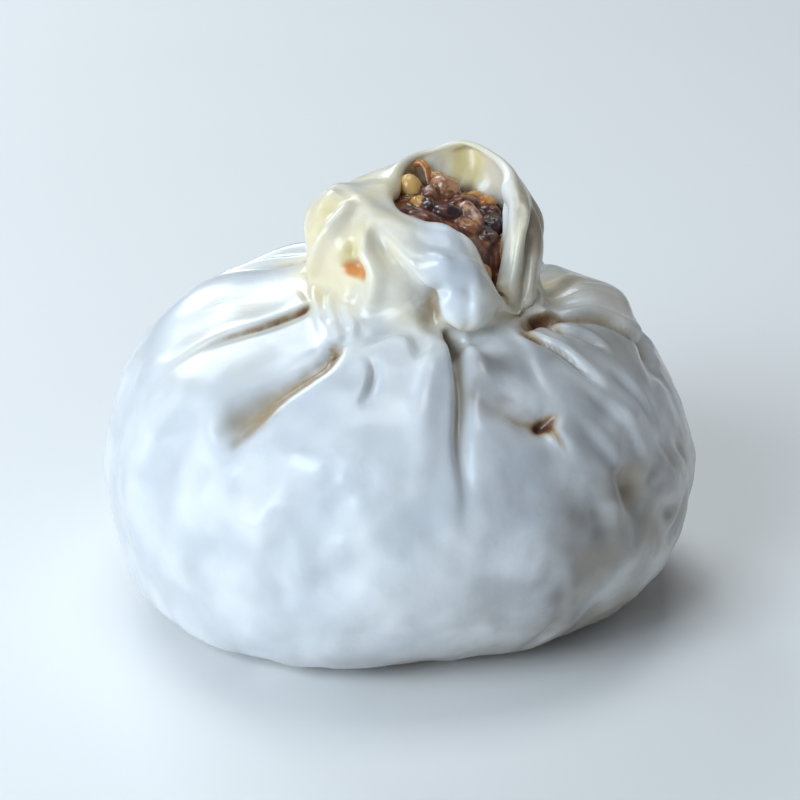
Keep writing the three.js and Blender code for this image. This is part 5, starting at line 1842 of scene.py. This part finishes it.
@dataclass
class Topping:
    """What shows in the mouth on top of the core: rice, diced mushroom, onion and a few amber pieces."""

    amber: FillingFinish = FillingFinish("amber_rice", (0.74, 0.46, 0.15, 1), (0.56, 0.27, 0.06, 1),
                                         (0.26, 0.08, 0.02, 1), patch=2.5, grain=0.7, glow=0.5, tooth=0.25)
    rice: FillingFinish = FillingFinish("sauced_rice", (0.50, 0.25, 0.09, 1), (0.28, 0.095, 0.04, 1),
                                        (0.10, 0.022, 0.015, 1), glow=0.45)
    mushroom: FillingFinish = FillingFinish("mushroom", (0.50, 0.26, 0.14, 1), (0.19, 0.07, 0.04, 1),
                                            (0.035, 0.012, 0.014, 1))
    sauce: FillingFinish = FillingFinish("sauce", (0.42, 0.19, 0.06, 1), (0.17, 0.05, 0.022, 1),
                                         (0.06, 0.014, 0.010, 1), glow=0.35)
    onion: FillingFinish = FillingFinish("fried_onion", (0.62, 0.30, 0.08, 1), (0.42, 0.14, 0.03, 1),
                                         (0.14, 0.035, 0.012, 1), glow=0.35)

    def build(self, edge: np.ndarray) -> None:
        """Makes and delivers every kind of piece.

        Args:
            edge: The points where the filling's top meets the dough, in mm.
        """
        amber = (
            Morsel((1.1, 3.0, 41.1), (1.25, 1.4, 1.9), (0, -14, 10), 0.08, 2.2, 0.05),
            Morsel((1.8, 0.2, 40.5), (0.9, 1.3, 1.0), (0, 0, 10), 0.45, 2.2, 0.16),
            Morsel((0.0, 6.0, 40.6), (1.2, 1.0, 0.9), (0, 0, 40), 0.35, 2.2),
            Morsel((7.5, 3.9, 40.1), (1.1, 0.7, 0.8), (0, 20, 30), 0.35, 2.2),
        )
        rice = (
            Morsel((6.4, 2.6, 40.0), (1.9, 0.95, 0.9), (0, 12, 30), 0.7, 2.2, 0.12),
            Morsel((2.2, -2.6, 39.9), (2.0, 1.0, 0.9), (0, 8, -20), 0.8, 2.1, 0.12),
            Morsel((9.2, -3.2, 35.9), (0.6, 0.6, 2.2), (-42, 8, 0), 0.55, 2.1, 0.1),
            Morsel((8.5, -4.2, 35.4), (0.6, 0.6, 2.1), (-40, 4, 0), 0.8, 2.1, 0.1),
            Morsel((9.75, -4.8, 34.0), (0.6, 0.6, 2.2), (-44, 6, 0), 0.25, 2.1, 0.1),
            Morsel((9.9, -2.4, 36.8), (0.5, 0.5, 1.8), (-42, 6, 0), 0.3, 2.1, 0.1),
        )
        mushroom = (
            Morsel((4.4, 3.7, 41.0), (1.5, 1.5, 1.55), (0, 20, 10), 0.1, 3.0, 0.12),
            Morsel((2.95, 2.3, 41.0), (0.8, 0.8, 0.8), (12, -24, 0), 0.55, 3.5, 0.1),
            Morsel((2.85, -0.4, 40.55), (0.7, 0.95, 0.8), (12, -24, 0), 0.7, 3.5, 0.1),
            Morsel((4.6, -0.6, 40.0), (1.5, 1.1, 0.9), (0, 10, 20), 0.85, 2.8, 0.22),
            Morsel((6.9, -0.2, 39.55), (2.1, 1.0, 0.85), (28, 23, -64), 0.3, 2.6, 0.08),
            Morsel((9.2, 0.6, 38.2), (1.1, 1.3, 1.2), (0, -15, 0), 0.95, 2.8, 0.25),
            Morsel((8.6, -1.7, 37.7), (1.0, 1.1, 1.1), (10, -10, 20), 0.8, 2.6, 0.22),
            Morsel((-2.6, 2.4, 40.3), (1.5, 1.3, 1.0), (0, 10, 30), 0.4, 2.6, 0.2),
            Morsel((5.6, 6.4, 39.8), (1.4, 1.1, 0.9), (0, 10, 70), 0.6, 2.5, 0.2),
        )
        onion = (
            Morsel((8.6, 3.0, 40.0), (0.9, 0.75, 0.75), (0, 28, 10), 0.35, 2.6, 0.3),
            Morsel((3.7, 5.0, 41.8), (0.9, 0.7, 0.8), (0, 0, 0), 0.2, 2.5, 0.25),
            Morsel((6.6, 4.2, 40.2), (0.6, 0.5, 0.45), (0, 0, 0), 0.3, 2.5, 0.25),
        )
        shreds = (
            ((3.2, 3.8, 40.8), (2.9, 4.4, 41.9), (2.7, 5.0, 42.8), (2.25, 5.3, 43.35), (1.75, 5.5, 43.3),
             (1.4, 5.5, 42.95)),
            ((3.9, 4.6, 40.8), (4.6, 4.8, 41.5), (5.4, 4.9, 41.1), (5.9, 4.9, 40.2)),
        )
        sticky = [
            RiceGrains(self.rice).build(edge),
            Morsels("amber_pieces", amber, self.amber, 4.0).build(),
            Morsels("long_grains", rice, self.rice, 6.0).build(),
            Morsels("mushroom_dice", mushroom, self.mushroom, 8.0).build(),
            Morsels("onion_bits", onion, self.onion, 3.0).build(),
        ]
        film = SauceFilm(self.sauce).build(edge, sticky)
        for obj in (*sticky, film, Shreds("onion_shreds", shreds, self.onion).build()):
            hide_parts("filling")
            deliver(obj)


# ---- the studio ---------------------------------------------------------------------------------------
@dataclass(frozen=True)
class Studio:
    """Floor, camera, lights and backdrop."""

    elevation: float = 22.0
    distance: float = 0.226
    aim_height: float = 0.020
    lens: float = 100.0

    def set_up(self) -> None:
        """Sets everything round the dumpling."""
        self.floor()
        self.camera()
        self.light("window", (-0.71, -0.28, 0.13), 0.50, 1.75, (0.96, 0.99, 1.0))
        self.light("front window", (-0.48, -0.55, 0.42), 0.46, 5.2, (0.71, 0.86, 1.0))
        self.light("back window", (-0.34, 0.62, 0.46), 0.40, 2.6, (0.80, 0.91, 1.0))
        self.light("ceiling", (0.0, 0.12, 0.85), 0.40, 1.9, (0.88, 0.96, 1.0))
        self.backdrop()

    def floor(self) -> None:
        """A wide pale floor under the dumpling."""
        half = 1500.0
        corners = np.array([[-half, -half, 0], [half, -half, 0], [half, half, 0], [-half, half, 0]])
        floor = mesh_object("floor", corners, [(0, 1, 2, 3)])
        floor.data.materials.append(FloorFinish().material())

    def camera(self) -> None:
        """A long lens that looks a little down on the front."""
        tilt = math.radians(self.elevation)
        data = bpy.data.cameras.new("camera")
        data.lens = self.lens
        data.clip_start = 0.01
        eye = bpy.data.objects.new("camera", data)
        bpy.context.scene.collection.objects.link(eye)
        eye.location = (0, -self.distance * math.cos(tilt), self.aim_height + self.distance * math.sin(tilt))
        eye.rotation_euler = (math.radians(90) - tilt, 0, 0)
        bpy.context.scene.camera = eye

    def light(self, name: str, place: tuple, size: float, power: float, colour: tuple) -> None:
        """A soft square light aimed at the dumpling.

        Args:
            name: The light's name.
            place: Where it hangs, in metres.
            size: Its side in metres.
            power: Its power in watts.
            colour: Its colour.
        """
        data = bpy.data.lights.new(name, "AREA")
        data.size, data.energy, data.color = size, power, colour
        lamp = bpy.data.objects.new(name, data)
        bpy.context.scene.collection.objects.link(lamp)
        lamp.location = place
        aim = Vector((0, 0, self.aim_height)) - Vector(place)
        lamp.rotation_euler = aim.to_track_quat("-Z", "Y").to_euler()

    def backdrop(self) -> None:
        """A pale room that lights the dumpling softly."""
        world = bpy.data.worlds.new("room")
        bpy.context.scene.world = world
        world.use_nodes = True
        back = world.node_tree.nodes["Background"]
        back.inputs["Color"].default_value = (0.88, 0.92, 1.0, 1)
        back.inputs["Strength"].default_value = 0.15
        bpy.context.scene.view_settings.view_transform = "Standard"


def main() -> None:
    """Builds the dumpling piece by piece, then the studio round it."""
    logging.basicConfig(level=logging.INFO, format="%(name)s: %(message)s")
    wrapper = Wrapper()
    dough = wrapper.build()
    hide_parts("wrapper")
    deliver(dough)
    heap = FillingHeap()
    core = heap.build(wrapper)
    core.data.materials.append(FillingFinish("sauced_core", (0.26, 0.09, 0.035, 1), (0.13, 0.036, 0.018, 1),
                                             (0.045, 0.011, 0.009, 1)).material())
    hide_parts("filling")
    deliver(core)
    Topping().build(heap.edge)
    Studio().set_up()


if __name__ == "__main__":
    main()
